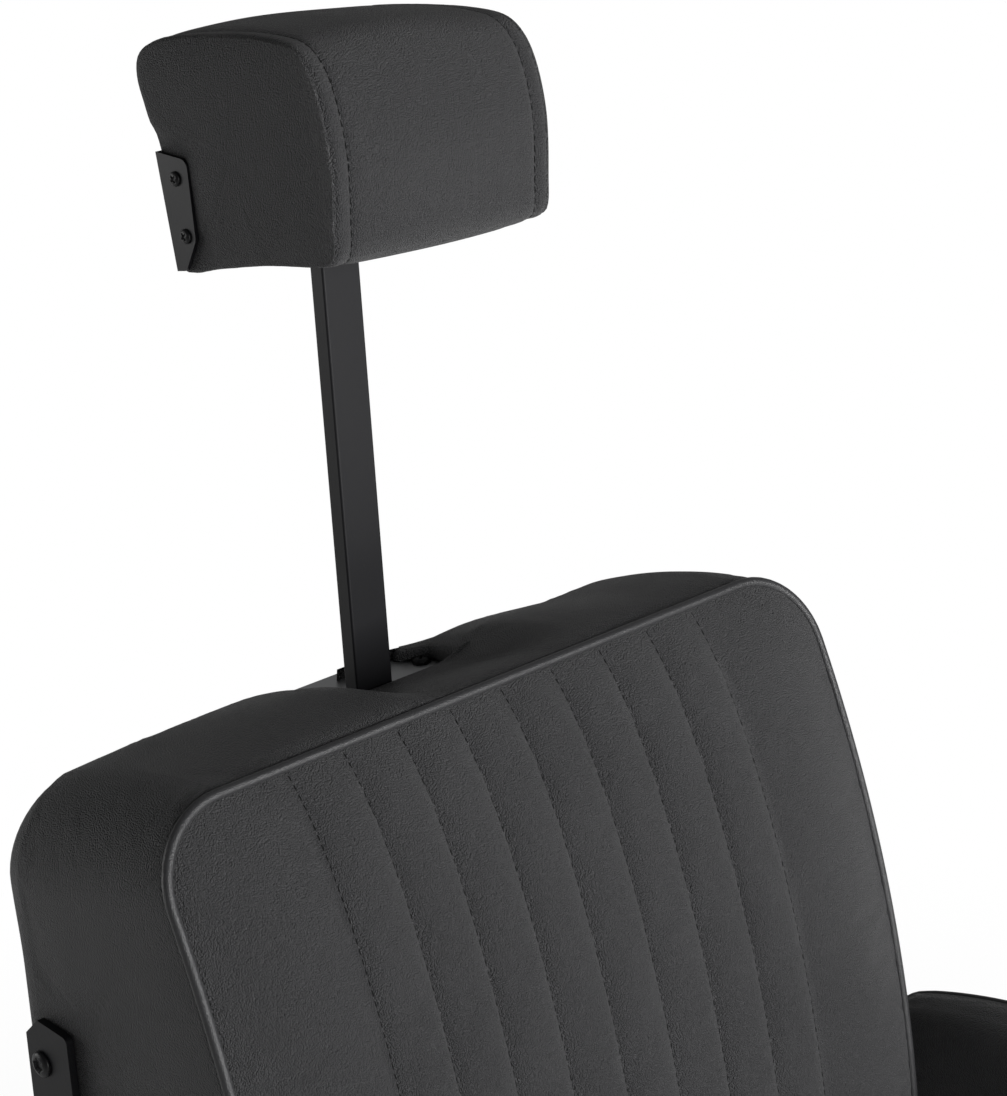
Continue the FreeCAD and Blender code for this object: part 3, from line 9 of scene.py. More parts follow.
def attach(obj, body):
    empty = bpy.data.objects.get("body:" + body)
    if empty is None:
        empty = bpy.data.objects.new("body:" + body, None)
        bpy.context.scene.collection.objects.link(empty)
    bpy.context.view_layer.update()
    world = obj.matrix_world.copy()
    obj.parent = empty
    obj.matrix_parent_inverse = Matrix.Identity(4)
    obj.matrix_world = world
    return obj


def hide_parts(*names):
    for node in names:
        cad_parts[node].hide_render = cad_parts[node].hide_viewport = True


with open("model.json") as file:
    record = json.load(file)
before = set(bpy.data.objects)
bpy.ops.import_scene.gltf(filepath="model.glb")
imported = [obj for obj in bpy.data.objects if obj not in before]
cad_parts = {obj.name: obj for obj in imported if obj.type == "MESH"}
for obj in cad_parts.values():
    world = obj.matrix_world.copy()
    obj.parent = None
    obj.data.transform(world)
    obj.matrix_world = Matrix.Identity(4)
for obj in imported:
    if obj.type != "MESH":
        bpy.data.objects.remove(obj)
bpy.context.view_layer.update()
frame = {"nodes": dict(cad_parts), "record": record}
MM = 0.001

# Back cushion.
# Foam on a plywood shell under stretch vinyl, sewn into eight upright channels with a plain panel each
# side. A piped seam joins the front to a boxing strip that runs round the edge to the rear.
BACK_SEAM_TOP = Vector((0, 280, 1005))
BACK_SEAM_HALF = 254.0
BACK_SIDE_HALF = 258.0
BACK_CORNER = 50.0
BACK_LEANS = [math.radians(28.2), math.radians(9.1), math.radians(-8)]
BACK_RADII = [907.0, 473.0]
BACK_THICK = 150.0
BAR_LEAN = math.radians(5.2)
CHANNEL_COUNT = 8
CHANNEL_WIDTH = 39.6
CHANNEL_SAG = 3.8
BACK_CROWN = 14.7
CROWN_RUN = 35.0
PIPING_RADIUS = 3.25


def new_piece(name, points, faces):
    """A piece of the scene from points in millimetres."""
    mesh = bpy.data.meshes.new(name)
    mesh.from_pydata([tuple(p * MM) for p in points], [], faces)
    piece = bpy.data.objects.new(name, mesh)
    bpy.context.collection.objects.link(piece)
    return piece


def ring_faces(start, count, rows):
    """Faces that join closed rings of points, one ring after another from a first point."""
    faces = []
    for low in range(start, start + (rows - 1) * count, count):
        for j in range(count):
            k = (j + 1) % count
            faces.append((low + j, low + k, low + count + k, low + count + j))
    return faces


def skin(name, rows, capped=False):
    """A smooth closed tube over rings of points; capped closes its two ends."""
    count = len(rows[0])
    faces = ring_faces(0, count, len(rows))
    if capped:
        last = (len(rows) - 1) * count
        faces += [list(range(count)), list(range(last, last + count))[::-1]]
    return finish_mesh(new_piece(name, [p for row in rows for p in row], faces))


def finish_mesh(piece):
    """Weld doubled points, turn every face outwards and shade smoothly."""
    work = bmesh.new()
    work.from_mesh(piece.data)
    bmesh.ops.remove_doubles(work, verts=work.verts, dist=2e-5)
    loose = [v for v in work.verts if not v.link_faces]
    bmesh.ops.delete(work, geom=loose, context="VERTS")
    bmesh.ops.recalc_face_normals(work, faces=work.faces)
    work.to_mesh(piece.data)
    work.free()
    for face in piece.data.polygons:
        face.use_smooth = True
    return piece


def soft_step(value, low, high):
    """0 below low, 1 above high and a smooth rise between."""
    t = min(max((value - low) / (high - low), 0.0), 1.0)
    return t * t * (3 - 2 * t)


def back_line(s):
    """Place and lean of the seam surface at a distance down the front from the top seam."""
    lean = BACK_LEANS[0]
    y, z = BACK_SEAM_TOP.y, BACK_SEAM_TOP.z
    run = min(s, BACK_CORNER)
    y -= run * math.sin(lean)
    z -= run * math.cos(lean)
    s -= run
    for radius, following in zip(BACK_RADII, BACK_LEANS[1:]):
        turn = min(s / radius, lean - following)
        y -= radius * (math.cos(lean - turn) - math.cos(lean))
        z -= radius * (math.sin(lean) - math.sin(lean - turn))
        s -= turn * radius
        lean -= turn
    y -= s * math.sin(lean)
    z -= s * math.cos(lean)
    return y, z, lean


BACK_ARCS = [r * (a - b) for r, a, b in zip(BACK_RADII, BACK_LEANS, BACK_LEANS[1:])]
BACK_LENGTH = 2 * BACK_CORNER + sum(BACK_ARCS)


def channel_columns(seam_half, steps, side_steps):
    """Widths across a channelled front, close together at the seams: (place, share of the side panel)."""
    columns = [(-seam_half, 1 - k / side_steps) for k in range(side_steps)]
    for c in range(round(2 * seam_half / CHANNEL_WIDTH)):
        for k in range(steps):
            t = (1 - math.cos(math.pi * k / steps)) / 2
            columns.append((-seam_half + CHANNEL_WIDTH * (c + t), 0.0))
    return columns + [(seam_half, k / side_steps) for k in range(side_steps + 1)]


def row_places(length, corner, arc_steps, step):
    """Distances down a front from its top seam, following the corner arcs at both ends."""
    turns = [math.pi / 2 * k / arc_steps for k in range(arc_steps + 1)]
    straight = length - 2 * corner
    count = round(straight / step)
    return ([corner * (1 - math.cos(turn)) for turn in turns[:-1]]
            + [corner + straight * k / count for k in range(count)]
            + [length - corner + corner * math.sin(turn) for turn in turns])


def half_width(s, length, half, corner):
    """Half the width of a rounded rectangle at a distance from its top edge."""
    near = min(s, length - s)
    if near >= corner:
        return half
    return half - corner + math.sqrt(max(corner ** 2 - (corner - near) ** 2, 0))


def front_height(x, s, length, seam_half, half, crown, sag):
    """How far the padded front stands out from its seam surface: tight channels, full plain sides."""
    near = min(s, length - s)
    rise = crown * (1 - math.exp(-near / CROWN_RUN))
    full = soft_step(near, -6, 40)
    if abs(x) > seam_half:
        t = max(half - abs(x), 0.0) / (half - seam_half)
        return rise * math.sin(math.pi / 2 * t) ** 0.75 + sag * 0.8 * full * math.sin(math.pi * t) ** 0.8
    t = (x + seam_half) / CHANNEL_WIDTH % 1
    return rise + sag * full * (1 - abs(2 * t - 1) ** 2.6) ** 0.62


def front_grid(columns, rows, length, half, corner, seam_half, place, crown, sag):
    """Rows of points over a padded front; place(x, s, out) is a point that far off the seam surface."""
    grid = []
    for s in rows:
        reach = half_width(s, length, half, corner)
        line = []
        for x, share in columns:
            side = math.copysign(share, x)
            out = front_height(x + side * (half - seam_half), s, length, seam_half, half, crown, sag)
            line.append(place(x + side * (reach - seam_half), s, out))
        grid.append(line)
    return grid


def rim_guides(columns, rows, length, half, corner):
    """For each rim point of a rounded rectangle: (across, down, outward across, outward down)."""
    def level(s, outward):
        across = [x + math.copysign(share, x) * (half - corner - abs(x)) for x, share in columns]
        return [(x, s, 0.0, outward) for x in across]

    def side(sign, s):
        if corner <= s <= length - corner:
            return (sign * half, s, float(sign), 0.0)
        slope = 1 - min(s, length - s) / corner
        across = sign * half_width(s, length, half, corner)
        return (across, s, sign * math.sqrt(1 - slope * slope), slope if s > corner else -slope)

    right = [side(1, s) for s in rows[1:-1]]
    left = [side(-1, s) for s in rows[1:-1]]
    return level(0.0, -1.0) + right + level(length, 1.0)[::-1] + left[::-1]


def back_place(x, s, out):
    y, z, lean = back_line(s)
    return Vector((x, y - out * math.cos(lean), z + out * math.sin(lean)))


def rear_plane(z):
    return BACK_SEAM_TOP.y + BACK_THICK - (BACK_SEAM_TOP.z - z) * math.tan(BAR_LEAN)


back_seams = CHANNEL_COUNT * CHANNEL_WIDTH / 2
back_columns = channel_columns(back_seams, 12, 16)
back_rows = row_places(BACK_LENGTH, BACK_CORNER, 12, 5.0)
back_front = front_grid(back_columns, back_rows, BACK_LENGTH, BACK_SEAM_HALF, BACK_CORNER, back_seams,
                        back_place, BACK_CROWN, CHANNEL_SAG)
back_guides = rim_guides(back_columns, back_rows, BACK_LENGTH, BACK_SEAM_HALF, BACK_CORNER)
back_rim = [back_place(across, down, 0) for across, down, _, _ in back_guides]

# The boxing strip runs back from the piping, turns the rear edge and ends under the rear cover board.
REAR_TOP_Z = 957.0
REAR_LOW_Z = 486.5
REAR_BOARD_HALF = 208.0
REAR_BOARD_TOP = 901.0
REAR_BOARD_LOW = 517.0
REAR_SIDE_TURN = 30.0
REAR_TOP_TURN = 9.0
STRIP_STEPS = 30
TURN_STEPS = 8
REAR_STEPS = 4
SIDE_BAR_TOP = 844.0
SIDE_BAR_FRONT = 351.0
TOP_BELLY = 8.5
SIDE_BELLY = 3.0
LOW_BELLY = 2.5


def strip_swell(t, out_x, out_down, point):
    """The strip's belly; on the flanks it lies flat where the steel side bars press on it."""
    belly = math.sin(math.pi * min(t * 0.93 + 0.035, 1)) ** 0.7
    if out_down > 0.5:
        return LOW_BELLY * belly
    top_share = 1 - abs(out_x)
    pressed = 1 - soft_step(point.y, SIDE_BAR_FRONT - 45, SIDE_BAR_FRONT - 8)
    free = soft_step(point.z, SIDE_BAR_TOP + 8, SIDE_BAR_TOP + 50)
    side = SIDE_BELLY * max(pressed, free)
    fuller = 4.0 * soft_step(-point.x, 30, 62) * (1 - soft_step(-point.x, 110, 200))
    return belly * (side * (1 - top_share) + (TOP_BELLY + fuller) * top_share)


def rear_lift(x):
    """The padding along the rear top edge isn't quite even: fuller on the right of the sitter."""
    if x < 0:
        return 8.5 * soft_step(-x, 45, 75) * (1 - 0.6 * soft_step(-x, 150, 250))
    return 4.0 * soft_step(x, 40, 80) - 6.0 * soft_step(x, 95, 165)


def boxing_point(k, guide, start):
    """Point k of the strip's way from one rim point: flat part, turn round the rear edge, rear face."""
    across, down, out_x, out_down = guide
    share = down / BACK_LENGTH
    z = REAR_TOP_Z - share * (REAR_TOP_Z - REAR_LOW_Z) + rear_lift(across) * max(1 - share / 0.12, 0)
    wider = 2.5 * soft_step(z, 860, 925) * abs(across) / BACK_SEAM_HALF
    edge = Vector((across * (BACK_SIDE_HALF + wider) / BACK_SEAM_HALF, rear_plane(z), z))
    outward = Vector((out_x, 0, -out_down)).normalized()
    turn = REAR_SIDE_TURN * abs(out_x) + REAR_TOP_TURN * (1 - abs(out_x))
    way = (edge - start).normalized()
    flat_end = edge - way * turn
    if k <= STRIP_STEPS:
        t = k / STRIP_STEPS
        point = start.lerp(flat_end, t)
        return point + outward * strip_swell(t, out_x, out_down, point)
    if k <= STRIP_STEPS + TURN_STEPS:
        angle = (k - STRIP_STEPS) / TURN_STEPS * math.pi / 2
        centre = flat_end - outward * turn
        point = centre + outward * turn * math.cos(angle) + way * turn * math.sin(angle)
        point.y = min(point.y, rear_plane(point.z))
        return point
    part = (k - STRIP_STEPS - TURN_STEPS) / REAR_STEPS
    board_x = across * REAR_BOARD_HALF / BACK_SEAM_HALF
    board_z = REAR_BOARD_TOP - share * (REAR_BOARD_TOP - REAR_BOARD_LOW)
    mid = (edge - outward * turn).lerp(Vector((board_x, 0, board_z)), min(part / 0.75, 1))
    tucked = 8.0 if part > 0.8 else 0.0
    return Vector((mid.x, rear_plane(mid.z) - tucked, mid.z))


back_boxing = [[boxing_point(k, guide, start) for guide, start in zip(back_guides, back_rim)]
               for k in range(1, STRIP_STEPS + TURN_STEPS + REAR_STEPS + 1)]

# In the middle of the top the cover is cut away round the steel plate; its edge is rolled down there.
# On the sitter's left the leather is drawn in behind the screw and slopes up gently from the plate.
NOTCH_HALF = 66.3
NOTCH_ROLL = 4.2
NOTCH_LIP = 383.3
NOTCH_LOW_Z = 948.5
FLAT_HALF = 48.0
FLAT_HALF_RIGHT = 22.0
LIP_Z = 966.5
LAP_LESS = 3.5
REAR_DRAW = 19.0
PLATE_TOP_Z = 958.9
PLATE_THICK = 3.0


def drawn_down(point):
    """Ahead of the plate the strip runs straight from the piping to the lip, without its belly."""
    share = (point.y - BACK_SEAM_TOP.y) / (NOTCH_LIP - BACK_SEAM_TOP.y)
    if share <= 0 or point.z < 940:
        return point
    straight = BACK_SEAM_TOP.z + (LIP_Z - BACK_SEAM_TOP.z) * share
    reach, far = FLAT_HALF_RIGHT, NOTCH_HALF - 4
    if point.x > 0:
        straight = max(straight, LIP_Z - (point.y - NOTCH_LIP) * math.tan(BAR_LEAN))
        rearward = soft_step(point.y, NOTCH_LIP, NOTCH_LIP + 32)
        reach, far = FLAT_HALF - 8 * rearward, NOTCH_HALF + 24 + 14 * rearward
    weight = (1 - soft_step(abs(point.x), reach, far)) * soft_step(share, 0.0, 0.75)
    return Vector((point.x, point.y, point.z + (straight - point.z) * weight))


def cut_notch(boxing, count):
    """The opening's first and last column and row; the grid's nearest lines are moved onto its edge."""
    half = NOTCH_HALF + NOTCH_ROLL
    lip_y = NOTCH_LIP - NOTCH_ROLL
    left, right = [min(range(count), key=lambda j: abs(boxing[0][j].x - x)) for x in (-half, half)]
    middle = (left + right) // 2
    lip = min(range(STRIP_STEPS), key=lambda k: abs(boxing[k][middle].y - lip_y))
    foot = min(range(STRIP_STEPS, len(boxing)), key=lambda k: abs(boxing[k][middle].z - NOTCH_LOW_Z))
    for row in boxing:
        row[left].x = -half
        row[right].x = half
        drawn = REAR_DRAW * soft_step(row[right].y, NOTCH_LIP + 22, NOTCH_LIP + 36)
        for j, share in enumerate((1, 0.75, 0.5, 0.25, 0.1), right):
            row[j].x -= drawn * share
    for point in boxing[lip][left:right + 1]:
        point.y = lip_y
    return left, right, lip, foot


notch = cut_notch(back_boxing, len(back_columns))
back_boxing = [[drawn_down(p) for p in row] for row in back_boxing]


def notch_walls(points, boxing, starts):
    """Rings of points from the opening's edge down over the plate's rim and under it, and their faces."""
    left, right, lip, foot = notch
    edge = [(lip, j) for j in range(left, right + 1)]
    edge += [(k, right) for k in range(lip + 1, foot + 1)]
    edge += [(foot, j) for j in range(right - 1, left - 1, -1)]
    edge += [(k, left) for k in range(foot - 1, lip, -1)]
    ring = [starts[k] + j for k, j in edge]
    faces = []
    # Each ring: how far it draws in from the plate's edge, its lip's place and its share of the way down.
    rings = ((-1.6, -2.4, 0.03), (2.6, -0.9, 0.14), (6.4, 0.6, 0.4), (8.4, 1.4, 0.7), (8.8, 1.6, 0.93),
             (8.0, 1.3, 1.0), (0.0, 0.0, 1.0), (0.0, 0.0, 2.0))
    for inward, ahead, share in rings:
        front = NOTCH_LIP + ahead
        down = min(share, 1)
        start = len(points)
        for k, j in edge:
            base = boxing[k][j]
            behind = soft_step(base.y, 416, 424)
            less = LAP_LESS * down if base.x > 0 and inward > 0 else 0
            x = base.x * (NOTCH_HALF - inward + less) / (NOTCH_HALF + NOTCH_ROLL)
            y = max(base.y, front) if k != lip else front
            y = min(y, rear_plane(NOTCH_LOW_Z) - 4 * down * behind)
            plate = PLATE_TOP_Z - (y - NOTCH_LIP) * math.tan(BAR_LEAN) + 0.3
            z = base.z + (plate - base.z) * down
            if share > 1 or behind > 0.99:
                z = min(z, plate - PLATE_THICK - 1.2)
            points.append(Vector((x, y, z)))
        fresh = list(range(start, start + len(edge)))
        for i in range(len(edge)):
            n = (i + 1) % len(edge)
            faces.append((ring[i], ring[n], fresh[n], fresh[i]))
        ring = fresh
    faces.append(tuple(ring))
    return faces


def boxed_cushion(name, grid, boxing, opening=None):
    """One closed mesh: the padded front, then the strip that runs round it, closed at the rear."""
    count, rows = len(grid[0]), len(grid)
    points = [p for row in grid for p in row]
    faces = []
    for low in range(0, (rows - 1) * count, count):
        for j in range(low, low + count - 1):
            faces.append((j, j + 1, j + count + 1, j + count))
    rim = list(range(count)) + [i * count + count - 1 for i in range(1, rows - 1)]
    rim += [(rows - 1) * count + j for j in range(count - 1, -1, -1)]
    rim += [i * count for i in range(rows - 2, 0, -1)]
    starts = []
    for number, ring in enumerate(boxing):
        start = len(points)
        starts.append(start)
        points += ring
        fresh = list(range(start, start + len(ring)))
        for j in range(len(rim)):
            k = (j + 1) % len(rim)
            if opening and opening[0] <= j < opening[1] and opening[2] < number <= opening[3]:
                continue
            faces.append((rim[j], fresh[j], fresh[k], rim[k]))
        rim = fresh
    faces.append(tuple(rim))
    if opening:
        faces += notch_walls(points, boxing, starts)
    return finish_mesh(new_piece(name, points, faces))


back_cover = boxed_cushion("back_cover", back_front, back_boxing, notch)

# Covers are sewn a little larger than their foam. Each is blown up by a short cloth simulation with its
# seams and fixed edges held, and no point may move further than its limit.
PUFF_FRAMES = 10
HELD_WITHIN = 0.3


def puff(piece, sewn, limit, pressure, slack=0.0, fixed=None):
    """Sewn points stay, and so do those that fixed() names; places and limits are in millimetres."""
    scene = bpy.context.scene
    start = [v.co / MM for v in piece.data.vertices]
    seams = kdtree.KDTree(max(len(sewn), 1))
    for i, point in enumerate(sewn):
        seams.insert(point, i)
    seams.balance()
    held = [i for i, p in enumerate(start)
            if (sewn and seams.find(p)[2] < HELD_WITHIN) or (fixed and fixed(p))]
    group = piece.vertex_groups.new(name="sewn")
    group.add(held, 1.0, "ADD")
    cloth = piece.modifiers.new("puff", "CLOTH")
    cloth.point_cache.frame_start = 1
    cloth.point_cache.frame_end = PUFF_FRAMES
    cloth.collision_settings.use_collision = False
    settings = cloth.settings
    settings.quality = 2
    settings.vertex_group_mass = "sewn"
    settings.use_pressure = True
    settings.uniform_pressure_force = pressure
    settings.shrink_min = -slack
    settings.effector_weights.gravity = 0.0
    for number in range(1, PUFF_FRAMES + 1):
        scene.frame_set(number)
    graph = bpy.context.evaluated_depsgraph_get()
    moved = [v.co / MM for v in piece.evaluated_get(graph).data.vertices]
    piece.modifiers.remove(cloth)
    piece.vertex_groups.clear()
    scene.frame_set(1)
    for vertex, before, after in zip(piece.data.vertices, start, moved):
        step = after - before
        vertex.co = (before + step * (limit / (limit + step.length))) * MM
    piece.data.update()


def seam_columns(columns, seam_half):
    """The columns of a front's grid that its channel seams lie on."""
    places = [-seam_half + c * CHANNEL_WIDTH for c in range(round(2 * seam_half / CHANNEL_WIDTH) + 1)]
    return [min(range(len(columns)), key=lambda j: abs(columns[j][0] - x) + 100 * columns[j][1])
            for x in places]


def sewn_points(grid, columns, seam_half, rim, strip):
    """Everything of a channelled cover that thread or staples hold."""
    seams = seam_columns(columns, seam_half)
    return [row[j] for row in grid for j in seams] + rim + [p for row in strip for p in row]


def back_fixed(point):
    by_plate = abs(point.x) < NOTCH_HALF + 12 and point.y > NOTCH_LIP - 10 and point.z > 930
    by_bar = abs(point.x) > 245 and point.y > SIDE_BAR_FRONT - 25 and point.z < SIDE_BAR_TOP + 20
    return by_plate or by_bar


back_sewn = sewn_points(back_front, back_columns, back_seams, back_rim, back_boxing[STRIP_STEPS:])
puff(back_cover, back_sewn, 1.2, 4.0, 0.008, back_fixed)


# Black upholstery vinyl: a PVC skin embossed with a fine pebble grain, semi-matt, a little glossier
# where it is stretched over the foam. The piping's folded strip is smoother.
VINYL_GRAIN_MM = 0.95
VINYL_CREASE_MM = 34.0


def linear(code):
    """An sRGB hex colour as linear values."""
    values = [int(code[i:i + 2], 16) / 255 for i in (0, 2, 4)]
    return [v / 12.92 if v <= 0.04045 else ((v + 0.055) / 1.055) ** 2.4 for v in values] + [1.0]


def new_material(name):
    """A fresh material: itself, its tree, its shader and the piece's own coordinates in metres."""
    made = bpy.data.materials.new(name)
    made.use_nodes = True
    tree = made.node_tree
    return made, tree, tree.nodes["Principled BSDF"], add_node(tree, "TexCoord").outputs["Object"]


def plug(node, **links):
    """Set a node's inputs to values, or link them from the sockets or nodes that are given."""
    for key, value in links.items():
        socket = node.inputs[int(key[2:])] if key.startswith("in") else node.inputs[key.replace("_", " ")]
        if isinstance(value, bpy.types.Node):
            value = value.outputs[0]
        if isinstance(value, bpy.types.NodeSocket):
            node.id_data.links.new(value, socket)
        else:
            socket.default_value = value
    return node


def add_node(tree, kind, settings=None, **links):
    """A node with its settings, and its inputs set to values or linked from other nodes."""
    node = tree.nodes.new("ShaderNode" + kind)
    for key, value in (settings or {}).items():
        setattr(node, key, value)
    return plug(node, **links)


def per_metre(size_mm):
    return 1000.0 / size_mm


def vinyl(name, code, roughness, grain_depth):
    made, tree, shader, place = new_material(name)
    wobble = add_node(tree, "TexNoise", Vector=place, Scale=per_metre(3.0), Detail=2.0)
    shifted = add_node(tree, "VectorMath", {"operation": "MULTIPLY_ADD"},
                       in0=wobble.outputs["Color"], in1=(0.0006, 0.0006, 0.0006), in2=place)
    pebble = add_node(tree, "TexVoronoi", {"feature": "F1"}, Vector=shifted,
                      Scale=per_metre(VINYL_GRAIN_MM), Randomness=1.0)
    rounded = add_node(tree, "Math", {"operation": "POWER"}, in0=pebble.outputs["Distance"], in1=1.6)
    fine = add_node(tree, "TexNoise", Vector=place, Scale=per_metre(0.45), Detail=3.0, Roughness=0.6)
    mixed = add_node(tree, "Math", {"operation": "MULTIPLY_ADD"}, in0=fine.outputs["Fac"], in1=-0.35,
                     in2=rounded)
    grain = add_node(tree, "Bump", {"invert": True}, Strength=grain_depth, Distance=0.0012,
                     Height=mixed)
    crease = add_node(tree, "TexNoise", Vector=place, Scale=per_metre(VINYL_CREASE_MM), Detail=4.0,
                      Roughness=0.55, Distortion=0.6)
    soft = add_node(tree, "Bump", Strength=0.16, Distance=0.004, Height=crease.outputs["Fac"],
                    Normal=grain)
    patch = add_node(tree, "TexNoise", Vector=place, Scale=per_metre(90.0), Detail=5.0)
    shine = add_node(tree, "MapRange", Value=patch.outputs["Fac"], From_Min=0.3, From_Max=0.7,
                     To_Min=roughness - 0.05, To_Max=roughness + 0.06)
    dark = linear(code)
    light = [v * 1.35 for v in dark[:3]] + [1.0]
    tone = add_node(tree, "Mix", {"data_type": "RGBA"}, Factor=patch.outputs["Fac"], A=dark, B=light)
    plug(shader, Base_Color=tone.outputs["Result"], Roughness=shine, Normal=soft, Specular_IOR_Level=0.22,
         Sheen_Weight=0.04, Sheen_Roughness=0.4)
    return made


black_vinyl = vinyl("black_vinyl", "232324", 0.44, 1.0)
piping_vinyl = vinyl("piping_vinyl", "1e1e1f", 0.38, 0.25)


def dress(piece, made, body, *nodes, slot=None, fill=None):
    """Give a piece its finish, the body that it moves with and the frame's node that it stands for."""
    piece.data.materials.clear()
    piece.data.materials.append(made)
    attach(piece, body)
    if nodes:
        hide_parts(*nodes)


dress(back_cover, black_vinyl, "back", "back_cushion", slot="black_vinyl", fill=0.8)


# Piping: a cord in a folded strip of vinyl, sewn into the seam round each front. It stands out a little
# and catches the light along the edge.
def even_path(points, step):
    """The same closed path with points at even steps along it."""
    loop = points + points[:1]
    lengths = [0.0]
    for a, b in zip(loop, loop[1:]):
        lengths.append(lengths[-1] + (b - a).length)
    count = max(int(lengths[-1] / step), 8)
    path = []
    j = 0
    for i in range(count):
        target = lengths[-1] * i / count
        while lengths[j + 1] < target:
            j += 1
        span = max(lengths[j + 1] - lengths[j], 1e-9)
        path.append(loop[j].lerp(loop[j + 1], (target - lengths[j]) / span))
    return path


def cord_loop(name, points, radius, sides=14, step=3.5):
    """A closed round cord: rings carried along without twist, the last turned to meet the first."""
    path = even_path(points, step)
    count = len(path)
    ways = [(path[(i + 1) % count] - path[i - 1]).normalized() for i in range(count)]
    first = across = ways[0].orthogonal().normalized()
    carried = []
    for way in ways + ways[:1]:
        across = (across - way * across.dot(way)).normalized()
        carried.append(across)
    slip = math.atan2(first.cross(across).dot(ways[0]), first.dot(across))
    rings = []
    for i, (centre, way) in enumerate(zip(path, ways)):
        angles = [2 * math.pi * k / sides - slip * i / count for k in range(sides)]
        rings.append([centre + Matrix.Rotation(angle, 3, way) @ carried[i] * radius for angle in angles])
    return skin(name, rings + rings[:1])


back_cord = cord_loop("back_piping_cord", back_rim, PIPING_RADIUS)
dress(back_cord, piping_vinyl, "back", "back_piping", slot="piping_vinyl", fill=1.0)


# Lockstitch in black polyester thread down each channel seam, one stitch every six millimetres. The thread is
# coloured darker than black thread is, as painted shade of the seam groove that it lies in.
# Each stitch is a short capsule that sinks into the vinyl at both ends.
STITCH_LENGTH = 4.1
STITCH_PITCH = 6.0
STITCH_RADIUS = 0.42
# Along the stitch, thickness and height, for each ring of six points.
STITCH_RINGS = ((-0.5, 0.25, -0.5), (-0.36, 0.9, -0.1), (0, 1.0, 0.1), (0.36, 0.9, -0.1), (0.5, 0.25, -0.5))


def thread():
    made, tree, shader, place = new_material("polyester_thread")
    twist = add_node(tree, "TexWave", {"bands_direction": "DIAGONAL"}, Vector=place,
                     Scale=per_metre(2.2))
    bump = add_node(tree, "Bump", Strength=0.4, Distance=0.0002, Height=twist.outputs["Fac"])
    # The near-black base colour is partly the thread's own black and partly painted shade of the seam groove.
    plug(shader, Base_Color=linear("060606"), Roughness=0.9, Specular_IOR_Level=0.08, Normal=bump)
    return made


polyester_thread = thread()


def stitches(name, lines):
    """Short thread capsules end to end along lines of (point, outward) pairs."""
    points = []
    faces = []
    for line in lines:
        travelled = 0.0
        next_at = STITCH_PITCH * 0.5
        for (a, out), (b, _) in zip(line, line[1:]):
            span = (b - a).length
            way = (b - a) / max(span, 1e-9)
            side = way.cross(out).normalized()
            while travelled + span >= next_at:
                middle = a + way * (next_at - travelled)
                start = len(points)
                for along, thick, lift in STITCH_RINGS:
                    centre = middle + way * along * STITCH_LENGTH + out * lift * STITCH_RADIUS
                    for k in range(6):
                        angle = math.pi / 3 * k
                        spoke = side * math.cos(angle) + out * math.sin(angle)
                        points.append(centre + spoke * (STITCH_RADIUS * thick))
                faces += ring_faces(start, 6, len(STITCH_RINGS))
                end = len(points) - 6
                faces += [tuple(range(start + 5, start - 1, -1)), tuple(range(end, end + 6))]
                next_at += STITCH_PITCH
            travelled += span
    piece = new_piece(name, points, faces)
    for face in piece.data.polygons:
        face.use_smooth = True
    return piece


def seam_lines(grid, columns, seam_half, place_out):
    """Each channel seam of a grid as a stitch line."""
    middle = range(3, len(grid) - 3)
    return [[(grid[i][j], place_out(i)) for i in middle] for j in seam_columns(columns, seam_half)]


def back_outward(i):
    lean = back_line(back_rows[i])[2]
    return Vector((0, -math.cos(lean), math.sin(lean)))


back_stitching = stitches("back_stitching", seam_lines(back_front, back_columns, back_seams, back_outward))
dress(back_stitching, polyester_thread, "back")


# Seat cushion: foam on a plywood board under the same channelled vinyl, lying flat. Its boxing strip
# hangs straight down and is stapled under the board.
SEAT_HALF = 274.0
SEAT_FRONT = -300.0
SEAT_REAR = 146.0
SEAT_LOW = 397.3
SEAT_SEAM_Z = 495.3
SEAT_CORNER = 31.0
SEAT_CROWN = 11.0
SEAT_SAG = 3.6
SKIRT_STEPS = (13, 18, 20)
SEAT_SEAM_HALF = SEAT_HALF - 3.0
seat_length = SEAT_REAR - SEAT_FRONT - 6


def seat_place(x, s, out):
    return Vector((x, SEAT_REAR - 3 - s, SEAT_SEAM_Z + out))


seat_columns = channel_columns(back_seams, 10, 14)
seat_rows = row_places(seat_length, SEAT_CORNER, 9, 6.0)
seat_top = front_grid(seat_columns, seat_rows, seat_length, SEAT_SEAM_HALF, SEAT_CORNER, back_seams,
                      seat_place, SEAT_CROWN, SEAT_SAG)
seat_guides = rim_guides(seat_columns, seat_rows, seat_length, SEAT_SEAM_HALF, SEAT_CORNER)
seat_rim = [seat_place(across, down, 0) for across, down, _, _ in seat_guides]


def skirt_point(k, guide, start, depth, bulge, turn):
    """Point k down the strip from one rim point: bellied fall, turn under the board, run inwards."""
    outward = Vector((guide[2], -guide[3], 0)).normalized()
    fall, under, _ = SKIRT_STEPS
    if k <= fall:
        t = k / fall
        belly = math.sin(math.pi * min(t * 0.96 + 0.02, 1)) ** 0.7
        return start + Vector((0, 0, -t * (depth - turn))) + outward * bulge * belly
    if k <= under:
        angle = (k - fall) / (under - fall) * math.pi / 2
        foot = start + Vector((0, 0, -(depth - turn)))
        return foot - outward * turn * (1 - math.cos(angle)) + Vector((0, 0, -turn * math.sin(angle)))
    return start + Vector((0, 0, -depth)) - outward * turn - outward * (k - under) * 14


